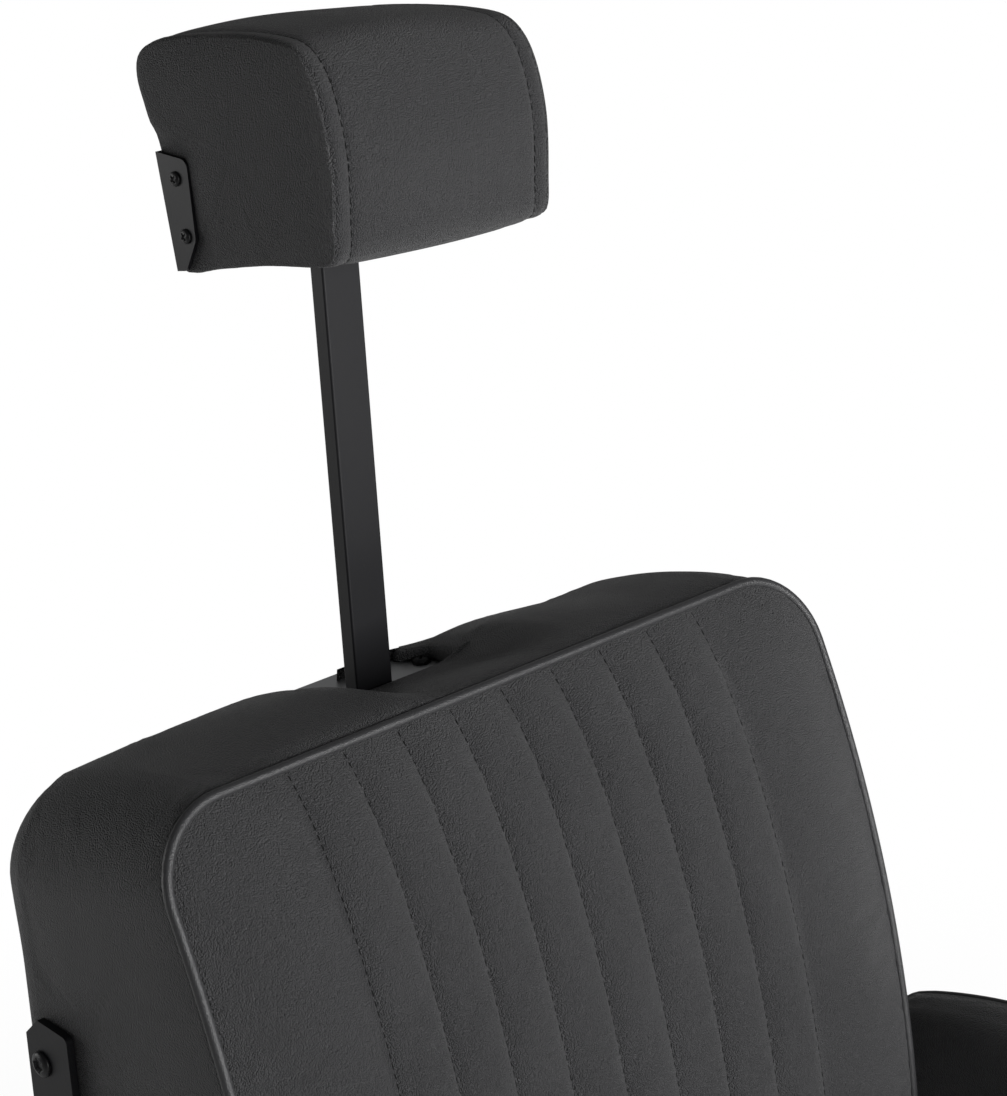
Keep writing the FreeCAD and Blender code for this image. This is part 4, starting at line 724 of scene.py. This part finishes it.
seat_boxing = [[skirt_point(k, guide, start, SEAT_SEAM_Z - SEAT_LOW, 2.8, 9.0)
                for guide, start in zip(seat_guides, seat_rim)] for k in range(1, SKIRT_STEPS[2] + 1)]
seat_cover = boxed_cushion("seat_cover", seat_top, seat_boxing)
seat_sewn = sewn_points(seat_top, seat_columns, back_seams, seat_rim, seat_boxing[SKIRT_STEPS[0] - 1:])
puff(seat_cover, seat_sewn, 1.6, 4.0, 0.012)
dress(seat_cover, black_vinyl, "seat", "seat_cushion", slot="black_vinyl", fill=0.8)
seat_cord = cord_loop("seat_piping_cord", seat_rim, PIPING_RADIUS)
dress(seat_cord, piping_vinyl, "seat", "seat_piping", slot="piping_vinyl", fill=1.0)
seat_seams = seam_lines(seat_top, seat_columns, back_seams, lambda i: Vector((0, 0, 1)))
seat_stitching = stitches("seat_stitching", seat_seams)
dress(seat_stitching, polyester_thread, "seat")


# Arms: a plywood panel padded with foam, under vinyl that rolls softly over the inner edge and is piped
# round the outer one. The left one is settled and then copied to the right.
ARM_INNER = 280.0
ARM_OUTER = 338.0
ARM_PEAK = (43.0, 723.0)
ARM_ARCH = 457.0
ARM_ENDS = (-216.0, 246.0)
ARM_LOW = 352.0
ARM_CORNER = 46.0
ARCH_STEPS = 44


def arch_z(y, inset):
    return ARM_PEAK[1] - ARM_ARCH + math.sqrt((ARM_ARCH - inset) ** 2 - (y - ARM_PEAK[0]) ** 2)


def round_corner(before, corner, after, radius, steps):
    """Points on an arc that rounds a corner between two straight directions."""
    a = (before - corner).normalized()
    b = (after - corner).normalized()
    half = a.angle(b) / 2
    run = radius / math.tan(half)
    centre = corner + (a + b).normalized() * (radius / math.sin(half))
    first = corner + a * run - centre
    last = corner + b * run - centre
    return [centre + first.slerp(last, k / steps).normalized() * radius for k in range(steps + 1)]


def arm_loop():
    """The arm's outline in its side view, clockwise from the rear foot."""
    front, rear = ARM_ENDS

    def on_arch(y):
        return Vector((y, arch_z(y, 0)))

    foot_front, foot_rear = Vector((front, ARM_LOW)), Vector((rear, ARM_LOW))
    top_front, top_rear = on_arch(front), on_arch(rear)
    points = round_corner(foot_rear, foot_front, top_front, ARM_CORNER, 10)
    points += round_corner(foot_front, top_front, on_arch(front + 40), ARM_CORNER, 10)
    finish = round_corner(on_arch(rear - 40), top_rear, foot_rear, ARM_CORNER, 10)
    start, run = points[-1].x, finish[0].x - points[-1].x
    points += [on_arch(start + run * k / ARCH_STEPS) for k in range(1, ARCH_STEPS)] + finish
    points += round_corner(top_rear, foot_rear, foot_front, ARM_CORNER, 10)
    return [Vector((0, p.x, p.y)) for p in points]


def loop_outward(path, axis):
    """Outward directions of a closed path that lies square to an axis."""
    middle = sum(path, Vector()) / len(path)
    outs = []
    for i, point in enumerate(path):
        out = (path[(i + 1) % len(path)] - path[i - 1]).normalized().cross(axis)
        outs.append(out if out.dot(point - middle) >= 0 else -out)
    return outs


def padded_panel(name, path, outs, inner, outer, roll, edge, crown):
    """A closed pad from its outline: rolled inner edge, belly, tight outer edge, both faces crowned."""
    middle = sum(path, Vector()) / len(path)
    rows = []

    def ring(x, inset, scale=1.0):
        row = []
        for point, out in zip(path, outs):
            base = middle + (point - out * inset - middle) * scale
            row.append(Vector((x, base.y, base.z)))
        rows.append(row)

    for scale, lift in ((0.02, 1.0), (0.2, 0.97), (0.4, 0.88), (0.6, 0.72), (0.78, 0.45), (0.9, 0.2),
                        (0.97, 0.06)):
        ring(inner + crown * (1 - lift), roll, scale)
    for k in range(9):
        angle = math.pi / 2 * k / 8
        ring(inner + crown + (roll - crown) * (1 - math.cos(angle)), roll * (1 - math.sin(angle)))
    for k in range(1, 8):
        ring(inner + roll + (outer - edge - inner - roll) * k / 8, -1.6 * math.sin(math.pi * k / 8))
    for k in range(6):
        angle = math.pi / 2 * k / 5
        ring(outer - edge * (1 - math.sin(angle)), edge * (1 - math.cos(angle)))
    for scale, lift in ((0.97, 0.1), (0.9, 0.3), (0.75, 0.6), (0.5, 0.85), (0.25, 0.97), (0.02, 1.0)):
        ring(outer - 2.0 + 2.0 * lift, edge, scale)
    return skin(name, rows, capped=True)


def arm_fixed(point):
    """The outer board and the lower edge lie flat on the seat frame's spacers."""
    return point.x > ARM_OUTER - 12 or point.z < ARM_LOW + 8


ACROSS = Vector((1, 0, 0))
arm_path = even_path(arm_loop(), 7.0)
arm_outs = [out.normalized() for out in loop_outward(arm_path, ACROSS)]
left_pad = padded_panel("arm_cover_left", arm_path, arm_outs, ARM_INNER + 1.5, ARM_OUTER, 24.0, 9.0, 3.5)
puff(left_pad, [], 2.0, 3.0, 0.015, arm_fixed)
PIPING_IN = 3.2
arm_seam = [Vector((ARM_OUTER - PIPING_IN, p.y, p.z)) - out * PIPING_IN
            for p, out in zip(arm_path, arm_outs)]
left_cord = cord_loop("arm_piping_left", arm_seam, PIPING_RADIUS)


def mirrored(piece, name):
    """The same piece for the other arm."""
    twin = bpy.data.objects.new(name, piece.data.copy())
    bpy.context.collection.objects.link(twin)
    twin.data.transform(Matrix.Scale(-1, 4, ACROSS))
    twin.data.flip_normals()
    return twin


for pad, word in ((left_pad, "left"), (mirrored(left_pad, "arm_cover_right"), "right")):
    dress(pad, black_vinyl, "seat", "arm_" + word, slot="black_vinyl", fill=0.8)
for cord in (left_cord, mirrored(left_cord, "arm_piping_right")):
    dress(cord, piping_vinyl, "seat", "arm_piping", slot="piping_vinyl", fill=1.0)


# Headrest: a foam block under vinyl in three panels, two ends and a wrap. The wrap is top-stitched
# beside each end seam, and the rear is stapled to the steel bracket.
HEAD_TILT = math.radians(13.7)
HEAD_PIVOT_IN = 43.5
HEAD_PIVOT_UP = 36.3
BAR_FOOT_Y = 393.2
BAR_FOOT_Z = 958.0
BAR_UP = 318.0
HEAD_SEAM_HALF = 79.5
TOP_STITCH = 11.4
head_pivot = Vector((0, BAR_FOOT_Y + BAR_UP * math.sin(BAR_LEAN),
                     BAR_FOOT_Z + BAR_UP * math.cos(BAR_LEAN)))


def head_point(forward, up, x):
    ahead = forward - HEAD_PIVOT_IN
    above = up - HEAD_PIVOT_UP
    y = head_pivot.y - ahead * math.cos(HEAD_TILT) + above * math.sin(HEAD_TILT)
    z = head_pivot.z + ahead * math.sin(HEAD_TILT) + above * math.cos(HEAD_TILT)
    return Vector((x, y, z))


def head_profile():
    """The block's side view as (forward, up), smooth, from the rear foot round by the front."""
    knots = [(0, 0), (32, 0.5), (75, 1.8), (118, 0.6), (134, 1.5), (141, 8), (145, 24), (149.5, 44),
             (151.8, 61), (151.6, 77), (149.8, 93), (146, 106), (138, 117.2), (125, 124), (98, 129),
             (69, 131.6), (37, 133), (15, 132.6), (0, 129.4), (-9, 122.5), (-12, 111), (-10, 98),
             (-7.4, 86), (-2.6, 77), (0, 50), (0, 25)]
    points = [Vector((a, b, 0)) for a, b in knots]
    smooth = []
    for i in range(len(points)):
        p0, p1, p2, p3 = [points[(i + n) % len(points)] for n in (-1, 0, 1, 2)]
        for t in (0.0, 0.2, 0.4, 0.6, 0.8):
            smooth.append(0.5 * (2 * p1 + (p2 - p0) * t + (2 * p0 - 5 * p1 + 4 * p2 - p3) * t * t
                                 + (3 * p1 - p0 - 3 * p2 + p3) * t * t * t))
    return smooth


head_outline = even_path(head_profile(), 4.0)
head_middle = sum(head_outline, Vector()) / len(head_outline)
head_out = loop_outward(head_outline, Vector((0, 0, 1)))


def head_sag(point):
    """The foam has settled a few millimetres towards the sitter's left end, most at the top front."""
    low = 3.4 * soft_step(point.x, -70, 80)
    high = 5.0 * soft_step(point.x, -30, 80) * soft_step(point.z, head_pivot.z + 60, head_pivot.z + 110)
    return Vector((point.x, point.y, point.z - low - high))


def head_ring(x, inset, scale=1.0):
    """One ring across the block; the ends lie flat where the bracket's flanges press on them."""
    row = []
    proud = max(abs(x) - HEAD_SEAM_HALF, 0)
    for point, out in zip(head_outline, head_out):
        base = head_middle + (point - out * inset - head_middle) * scale
        clear = max(soft_step(base.x, 24, 36), soft_step(base.y, 69, 80))
        across = math.copysign(HEAD_SEAM_HALF + proud * clear, x) if proud else x
        row.append(head_sag(head_point(base.x, base.y, across)))
    return row


# A pocket in the foam's underside leaves room for the bracket's ears, the pin and the bar.
POCKET_HALF = 20.7
POCKET_REAR = 14.0
POCKET_FRONT = 59.5
POCKET_TOP = 52.3


def underside(forward):
    """The outline point of the underside that is nearest to a place."""
    low = [i for i, p in enumerate(head_outline) if p.y < 4]
    return min(low, key=lambda i: abs(head_outline[i].x - forward))


pocket_marks = [underside(POCKET_REAR), underside(POCKET_FRONT)]
for mark, forward in zip(pocket_marks, (POCKET_REAR, POCKET_FRONT)):
    head_outline[mark] = Vector((forward, head_outline[mark].y, 0))


def headrest_rows():
    """Rings from the sitter's right end to the left: end cap, seam and stitch row, wrap, and back again."""
    seam = HEAD_SEAM_HALF
    caps = [(0.02, 4.0), (0.25, 3.95), (0.5, 3.7), (0.7, 3.0), (0.84, 2.0), (0.93, 1.0), (0.975, 0.2)]
    wrap = [(0, 1.1), (0.9, 2.4), (1.8, 1.4), (3.2, 0.25), (5.5, 0.1), (TOP_STITCH - 0.7, 0.3),
            (TOP_STITCH, 1.0), (TOP_STITCH + 0.7, 0.3), (15, -0.3)]
    rows = [head_ring(-seam - out, 0.8, scale) for scale, out in caps]
    rows += [head_ring(in_by - seam, inset) for in_by, inset in wrap]
    for k in range(1, 24):
        x = -seam + 15 + (2 * seam - 30) * k / 24
        x = math.copysign(POCKET_HALF, x) if abs(abs(x) - POCKET_HALF) < 2.9 else x
        rows.append(head_ring(x, -0.3 - 1.7 * math.sin(math.pi * k / 24) ** 0.7))
    rows += [head_ring(seam - in_by, inset) for in_by, inset in wrap[::-1]]
    return rows + [head_ring(seam + out, 0.8, scale) for scale, out in caps[::-1]]


def head_own(point):
    """A point's place in the headrest's own side view: forward and up."""
    y = head_pivot.y - point.y
    z = point.z - head_pivot.z
    ahead = y * math.cos(HEAD_TILT) + z * math.sin(HEAD_TILT)
    above = z * math.cos(HEAD_TILT) - y * math.sin(HEAD_TILT)
    return ahead + HEAD_PIVOT_IN, above + HEAD_PIVOT_UP


def in_pocket(point):
    ahead, above = head_own(point)
    within = POCKET_REAR - 0.3 < ahead < POCKET_FRONT + 0.3
    return within and above <= 6 and abs(point.x) <= POCKET_HALF + 0.3


def open_pocket(piece):
    """Cut the underside away over the pocket and line it with four walls and a top."""
    work = bmesh.new()
    work.from_mesh(piece.data)
    gone = [f for f in work.faces if len(f.verts) < 5 and all(in_pocket(v.co / MM) for v in f.verts)]
    bmesh.ops.delete(work, geom=gone, context="FACES")
    rim = [e for e in work.edges if e.is_boundary]
    for share in (0.04, 1.0):
        raised = bmesh.ops.extrude_edge_only(work, edges=rim)["geom"]
        for v in (g for g in raised if isinstance(g, bmesh.types.BMVert)):
            p = v.co / MM
            ahead, above = head_own(p)
            v.co = head_point(ahead, above + (POCKET_TOP - above) * share, p.x) * MM
        rim = [g for g in raised if isinstance(g, bmesh.types.BMEdge) and g.is_boundary]
    bmesh.ops.holes_fill(work, edges=rim, sides=0)
    bmesh.ops.recalc_face_normals(work, faces=work.faces)
    work.verts.index_update()
    count = len(work.verts)

    def order(part):
        """The extruded walls come in any order; this one is the same each run, and so is the cloth's."""
        low = sorted(v.index for v in part.verts)[:3]
        return sum(n * count ** (2 - i) for i, n in enumerate(low))

    work.edges.sort(key=order)
    work.faces.sort(key=order)
    work.to_mesh(piece.data)
    work.free()
    for face in piece.data.polygons:
        face.use_smooth = len(face.vertices) <= 4


def head_fixed(point):
    """The rear that lies on the bracket, and the pocket's rim, are stapled."""
    ahead, above = head_own(point)
    by_bracket = above < 76 and (ahead < 4 or (ahead < 28 and abs(point.x) > HEAD_SEAM_HALF))
    by_pocket = above < 6 and abs(point.x) < POCKET_HALF + 8 and ahead < POCKET_FRONT + 8
    return by_bracket or by_pocket


head_rings = headrest_rows()
head_cover = skin("headrest_cover", head_rings, capped=True)
open_pocket(head_cover)
head_sewn = [p for n in (7, 8, 9, 13, -8, -9, -10, -14) for p in head_rings[n]]
puff(head_cover, head_sewn, 1.0, 3.0, 0.003, head_fixed)
dress(head_cover, black_vinyl, "headrest", "headrest_cushion", slot="black_vinyl", fill=0.85)
head_lines = []
for x in (TOP_STITCH - HEAD_SEAM_HALF, HEAD_SEAM_HALF - TOP_STITCH):
    line = []
    for point, out in zip(head_outline + head_outline[:1], head_out + head_out[:1]):
        inside = point - out * 0.7
        a = head_sag(head_point(inside.x, inside.y, x))
        b = head_sag(head_point(inside.x + out.x, inside.y + out.y, x))
        line.append((a, (b - a).normalized()))
    head_lines.append(line)
head_stitching = stitches("headrest_stitching", head_lines)
dress(head_stitching, polyester_thread, "headrest")


# Calf pad: foam on a board across the leg rest's bars, under one plain piece of vinyl that is pulled
# round the edges and stapled behind.
LEG_PIVOT = Vector((0, -256, 368))
LEG_LEAN = math.radians(24)
PAD_DOWN = (52.0, 202.0)
PAD_HALF = 227.3
PAD_BASE = 14.3
PAD_THICK = 34.0
PAD_ROLL = 17.0
PAD_RING = 120
PAD_SQUARENESS = 2 / 9


def leg_point(x, down, ahead):
    y = LEG_PIVOT.y - down * math.sin(LEG_LEAN) - ahead * math.cos(LEG_LEAN)
    z = LEG_PIVOT.z - down * math.cos(LEG_LEAN) + ahead * math.sin(LEG_LEAN)
    return Vector((x, y, z))


def calf_rows():
    """Rounded rectangle rings from the board's face out to the crown."""
    mid, reach = sum(PAD_DOWN) / 2, (PAD_DOWN[1] - PAD_DOWN[0]) / 2
    rows = []

    def ring(inset, ahead, scale=1.0):
        row = []
        for k in range(PAD_RING):
            c, s = [turn(2 * math.pi * k / PAD_RING) for turn in (math.cos, math.sin)]
            x = math.copysign(abs(c) ** PAD_SQUARENESS, c) * (PAD_HALF - inset) * scale
            down = math.copysign(abs(s) ** PAD_SQUARENESS, s) * (reach - inset) * scale
            row.append(leg_point(x, mid + down, PAD_BASE + ahead))
        rows.append(row)

    for inset, ahead, scale in ((2, 0, 0.02), (2, 0, 0.9), (1, 0, 1), (0, 2, 1)):
        ring(inset, ahead, scale)
    for k in range(1, 8):
        ring(-0.8 * math.sin(math.pi * k / 8), 2 + k / 8 * PAD_THICK * 0.5)
    for k in range(9):
        angle = math.pi / 2 * k / 8
        ring(PAD_ROLL * (1 - math.cos(angle)), PAD_THICK * 0.56 + PAD_THICK * 0.36 * math.sin(angle))
    for scale, lift in ((0.96, 0.4), (0.85, 0.75), (0.6, 0.95), (0.3, 1.0), (0.02, 1.0)):
        ring(PAD_ROLL, PAD_THICK * (0.92 + 0.06 * lift), scale)
    return rows


def calf_fixed(point):
    """The pad's board side."""
    y = LEG_PIVOT.y - point.y
    z = LEG_PIVOT.z - point.z
    return y * math.cos(LEG_LEAN) - z * math.sin(LEG_LEAN) < PAD_BASE + 3


calf_cover = skin("calf_cover", calf_rows(), capped=True)
puff(calf_cover, [], 1.8, 3.0, 0.01, calf_fixed)
dress(calf_cover, black_vinyl, "leg_rest", "calf_pad", slot="black_vinyl", fill=0.8)


# Black powder coat on the steel frame, bars and headrest post: polyester powder baked on in a thin
# satin film, with a faint orange peel.
def powder_coat(name, code, roughness):
    made, tree, shader, place = new_material(name)
    peel = add_node(tree, "TexNoise", Vector=place, Scale=per_metre(1.6), Detail=2.0)
    bump = add_node(tree, "Bump", Strength=0.12, Distance=0.0003, Height=peel.outputs["Fac"])
    cloud = add_node(tree, "TexNoise", Vector=place, Scale=per_metre(60.0), Detail=4.0)
    shine = add_node(tree, "MapRange", Value=cloud.outputs["Fac"], To_Min=roughness - 0.05,
                     To_Max=roughness + 0.07)
    plug(shader, Base_Color=linear(code), Roughness=shine, Normal=bump, Specular_IOR_Level=0.14)
    return made


# Polished chrome plate on the column and base, laid over ground steel: a mirror with a faint haze
# of wear.
def chrome(name, roughness):
    made, tree, shader, place = new_material(name)
    haze = add_node(tree, "TexNoise", Vector=place, Scale=per_metre(45.0), Detail=6.0)
    shine = add_node(tree, "MapRange", Value=haze.outputs["Fac"], To_Min=roughness,
                     To_Max=roughness + 0.08)
    plug(shader, Base_Color=linear("d9dadc"), Metallic=1.0, Roughness=shine)
    return made


# Ground and zinc-plated steel and cast aluminium: lengthwise lines from the grinding belt draw the
# light out. The real ones, about 0.1 mm apart, are drawn coarser so that they show.
def brushed(name, code, roughness, line_mm):
    made, tree, shader, place = new_material(name)
    drawn = add_node(tree, "VectorMath", {"operation": "MULTIPLY"}, in0=place, in1=(1.0, 0.04, 0.3))
    lines = add_node(tree, "TexNoise", Vector=drawn, Scale=per_metre(line_mm), Detail=3.0)
    bump = add_node(tree, "Bump", Strength=0.15, Distance=0.0001, Height=lines.outputs["Fac"])
    shine = add_node(tree, "MapRange", Value=lines.outputs["Fac"], To_Min=roughness - 0.06,
                     To_Max=roughness + 0.08)
    plug(shader, Base_Color=linear(code), Metallic=1.0, Roughness=shine, Normal=bump)
    return made


# Black rubber on the pedal, lever grip and base rim, moulded in one piece each: matt, and slightly
# dusty from use.
def rubber(name, code):
    made, tree, shader, place = new_material(name)
    dust = add_node(tree, "TexNoise", Vector=place, Scale=per_metre(25.0), Detail=5.0)
    shine = add_node(tree, "MapRange", Value=dust.outputs["Fac"], To_Min=0.68, To_Max=0.85)
    fine = add_node(tree, "TexNoise", Vector=place, Scale=per_metre(0.9), Detail=2.0)
    bump = add_node(tree, "Bump", Strength=0.2, Distance=0.0002, Height=fine.outputs["Fac"])
    plug(shader, Base_Color=linear(code), Roughness=shine, Normal=bump, Specular_IOR_Level=0.35)
    return made


# Birch plywood board under the seat, glued from thin peeled sheets: pale and bare, with long soft
# growth rings.
def birch(name):
    made, tree, shader, place = new_material(name)
    drawn = add_node(tree, "VectorMath", {"operation": "MULTIPLY"}, in0=place, in1=(1.0, 0.08, 6.0))
    rings = add_node(tree, "TexNoise", Vector=drawn, Scale=per_metre(9.0), Detail=5.0, Distortion=0.4)
    tone = add_node(tree, "ValToRGB", Fac=rings.outputs["Fac"])
    for stop, code in zip(tone.color_ramp.elements, ("a98052", "cfae7f")):
        stop.color = linear(code)
    plug(shader, Base_Color=tone, Roughness=0.62)
    return made


black_oxide = powder_coat("black_oxide", "101011", 0.34)
mirror_chrome = chrome("mirror_chrome", 0.07)
FINISHES = {
    "black_paint": powder_coat("satin_black_powder_coat", "0c0c0e", 0.45),
    "black_fasteners": black_oxide,
    "chrome_plate": mirror_chrome,
    "chrome_lever": mirror_chrome,
    "bare_steel": brushed("ground_steel", "c4c5c7", 0.25, 0.6),
    "grey_steel": brushed("zinc_plated_steel", "a9aaab", 0.42, 0.8),
    "black_rubber": rubber("moulded_rubber", "161616"),
    "cast_aluminium": brushed("cast_aluminium", "b9babc", 0.5, 1.4),
    "plywood": birch("birch_ply"),
    "panel_board": black_vinyl,
    "black_vinyl": black_vinyl,
    "piping_vinyl": piping_vinyl,
}
for entry in frame["record"]["subparts"]:
    node = frame["nodes"][entry["node"]]
    node.data.materials.clear()
    node.data.materials.append(FINISHES[entry["material_slot"]])


# Screws and button bolts in black oxide: a low domed head with a cross or a hexagon socket, each one
# bearing on the face that it holds.
HEAD_SECTORS = 36
HEAD_CIRCLES = (0.1, 0.2, 0.3, 0.38, 0.44, 0.5, 0.6, 0.72, 0.84, 0.94, 1.0)


def dome(r, angle, socket):
    """The head's height over its seat, as a share, at a share of its radius; the socket is sunk."""
    if socket == "cross":
        u, v = abs(r * math.cos(angle)), abs(r * math.sin(angle))
        sunk = min(u, v) < 0.13 and max(u, v) < 0.52
    else:
        sunk = r * math.cos((angle + math.pi / 6) % (math.pi / 3) - math.pi / 6) < 0.46
    return 0.35 + 0.65 * math.sqrt(max(1 - r * r, 0)) - (0.45 if sunk else 0.0)


def button_heads(name, body, node, places, radius, height, socket):
    """places: (point under the head, outward axis) in millimetres."""
    turns = [2 * math.pi * k / HEAD_SECTORS for k in range(HEAD_SECTORS)]
    points = []
    faces = []
    for at, axis in places:
        across = axis.orthogonal().normalized()
        side = axis.cross(across)
        start = len(points)
        for r in HEAD_CIRCLES:
            for turn in turns:
                spoke = across * math.cos(turn) + side * math.sin(turn)
                points.append(at + spoke * (radius * r) + axis * (height * dome(r, turn, socket)))
        for turn in turns:
            spoke = across * math.cos(turn) + side * math.sin(turn)
            points.append(at + spoke * radius - axis * 0.2)
        last = len(points) - HEAD_SECTORS
        points.append(at + axis * (height * dome(0, 0, socket)))
        faces += ring_faces(start, HEAD_SECTORS, len(HEAD_CIRCLES) + 1)
        for k in range(HEAD_SECTORS):
            faces.append((last + HEAD_SECTORS, start + (k + 1) % HEAD_SECTORS, start + k))
        faces.append(tuple(range(last, last + HEAD_SECTORS)))
    piece = finish_mesh(new_piece(name, points, faces))
    dress(piece, black_oxide, body, node, slot="black_fasteners")


rear_way = Vector((0, math.cos(BAR_LEAN), -math.sin(BAR_LEAN)))
plate_up = Vector((0, math.sin(BAR_LEAN), math.cos(BAR_LEAN)))
FLANGE_OUT = HEAD_SEAM_HALF + 2.8
SIDE_BAR_OUT = 263.3
SIDE_BAR_DOWN = 161
SIDE_BAR_BEHIND = 112
head_screws = [(head_point(12, up, side * FLANGE_OUT), ACROSS * side)
               for up in (21, 54) for side in (-1, 1)]
plate_places = [(Vector((x, BAR_FOOT_Y, BAR_FOOT_Z)) + rear_way * 14, plate_up) for x in (-54, 54)]
board_screws = [(Vector((x, rear_plane(z) + 4 / math.cos(BAR_LEAN), z)), rear_way)
                for x in (-196, 0, 196) for z in (531.6, 887.0)]
side_bolts = []
for down, inward in ((188, 14), (300, 20), (400, 20)):
    y = BACK_SEAM_TOP.y + SIDE_BAR_BEHIND - (down - SIDE_BAR_DOWN) * math.tan(BAR_LEAN) - inward
    side_bolts += [(Vector((side * SIDE_BAR_OUT, y, BACK_SEAM_TOP.z - down)), ACROSS * side) for side in (-1, 1)]
arm_places = [(Vector((side * ARM_OUTER, y, 394)), ACROSS * side) for side in (-1, 1) for y in (-130, 130)]
for row in (("headrest_screw_heads", "headrest", "headrest_screws", head_screws, 4.4, 2.4, "cross"),
            ("plate_screw_heads", "back", "plate_screws", plate_places, 6.0, 4.0, "cross"),
            ("rear_board_screw_heads", "back", "rear_panel_screws", board_screws, 5.5, 2.6, "cross"),
            ("side_bar_bolt_heads", "back", "bracket_bolts", side_bolts, 8.0, 4.0, "hexagon"),
            ("arm_bolt_heads", "seat", "arm_bolts", arm_places, 9.0, 4.5, "hexagon")):
    button_heads(*row)


# Studio: a pale floor that fades into white, under a large key softbox ahead of the chair, a small one
# to its right and a weak one behind. White surroundings show fully to the camera, faintly in reflections.
MIRRORED_WHITE = 0.2
AMBIENT = 0.16


def white_seen(tree):
    path = add_node(tree, "LightPath").outputs
    mirrored_white = add_node(tree, "Math", {"operation": "MULTIPLY"}, in0=path["Is Glossy Ray"],
                              in1=MIRRORED_WHITE)
    seen = add_node(tree, "Math", {"operation": "MAXIMUM"}, in0=path["Is Camera Ray"],
                    in1=mirrored_white)
    return add_node(tree, "Math", {"operation": "MAXIMUM"}, in0=seen, in1=path["Is Transmission Ray"])


def studio_floor():
    bpy.ops.mesh.primitive_plane_add(size=30.0, location=(0, 0, 0))
    floor = bpy.context.object
    floor.name = "studio_floor"
    made, tree, shader, place = new_material("white_floor")
    plug(shader, Base_Color=linear("f4f4f4"), Roughness=0.9, Specular_IOR_Level=0.0)
    glow = add_node(tree, "Emission", Color=(1, 1, 1, 1), Strength=1.0)
    reach = add_node(tree, "VectorMath", {"operation": "LENGTH"}, in0=place)
    fade = add_node(tree, "MapRange", {"interpolation_type": "SMOOTHSTEP"},
                    Value=reach.outputs["Value"], From_Min=0.5, From_Max=1.9, To_Min=0.72, To_Max=1.0)
    share = add_node(tree, "Math", {"operation": "MULTIPLY"}, in0=white_seen(tree), in1=fade)
    mix = add_node(tree, "MixShader", in0=share, in1=shader, in2=glow)
    plug(tree.nodes["Material Output"], Surface=mix)
    floor.data.materials.append(made)


def softbox(name, place, aim, size, watts):
    lamp = bpy.data.lights.new(name, "AREA")
    lamp.shape = "RECTANGLE"
    lamp.size, lamp.size_y = size
    lamp.energy = watts
    light = bpy.data.objects.new(name, lamp)
    bpy.context.collection.objects.link(light)
    light.location = place
    light.rotation_euler = (Vector(aim) - Vector(place)).to_track_quat("-Z", "Y").to_euler()


studio_floor()
softbox("key_softbox", (0.8, -3.2, 1.9), (0, 0.2, 0.95), (2.2, 1.8), 300)
softbox("front_softbox", (-0.9, -3.3, 1.5), (0, 0.1, 0.8), (1.8, 1.4), 45)
softbox("rear_softbox", (-1.9, 2.9, 0.9), (0, 0, 0.7), (1.8, 1.2), 30)
world = bpy.data.worlds.new("studio_world")
bpy.context.scene.world = world
world.use_nodes = True
sky = world.node_tree
strength = add_node(sky, "Math", {"operation": "MAXIMUM"}, in0=white_seen(sky), in1=AMBIENT)
plug(sky.nodes["Background"], Color=(1, 1, 1, 1), Strength=strength)


# Camera at the photograph's place, above and ahead of the chair on its right side. Its long lens was
# fitted to points measured in the photograph.
FOCAL_PIXELS = 3098.0
PHOTO_WIDTH = 1007.0
SENSOR_MM = 36.0
CAMERA_PLACE = Vector((-1.0984, -0.9052, 1.7782))
CAMERA_YAW = 0.75
CAMERA_PITCH = 0.403
lens = bpy.data.cameras.new("photo_camera")
lens.sensor_fit = "HORIZONTAL"
lens.sensor_width = SENSOR_MM
lens.lens = FOCAL_PIXELS / PHOTO_WIDTH * SENSOR_MM
lens.clip_end = 100.0
camera = bpy.data.objects.new("photo_camera", lens)
bpy.context.collection.objects.link(camera)
level = math.cos(CAMERA_PITCH)
ahead = Vector((math.sin(CAMERA_YAW) * level, math.cos(CAMERA_YAW) * level, -math.sin(CAMERA_PITCH)))
camera.location = CAMERA_PLACE
camera.rotation_euler = ahead.to_track_quat("-Z", "Y").to_euler()
bpy.context.scene.camera = camera
bpy.context.scene.view_settings.view_transform = "Standard"
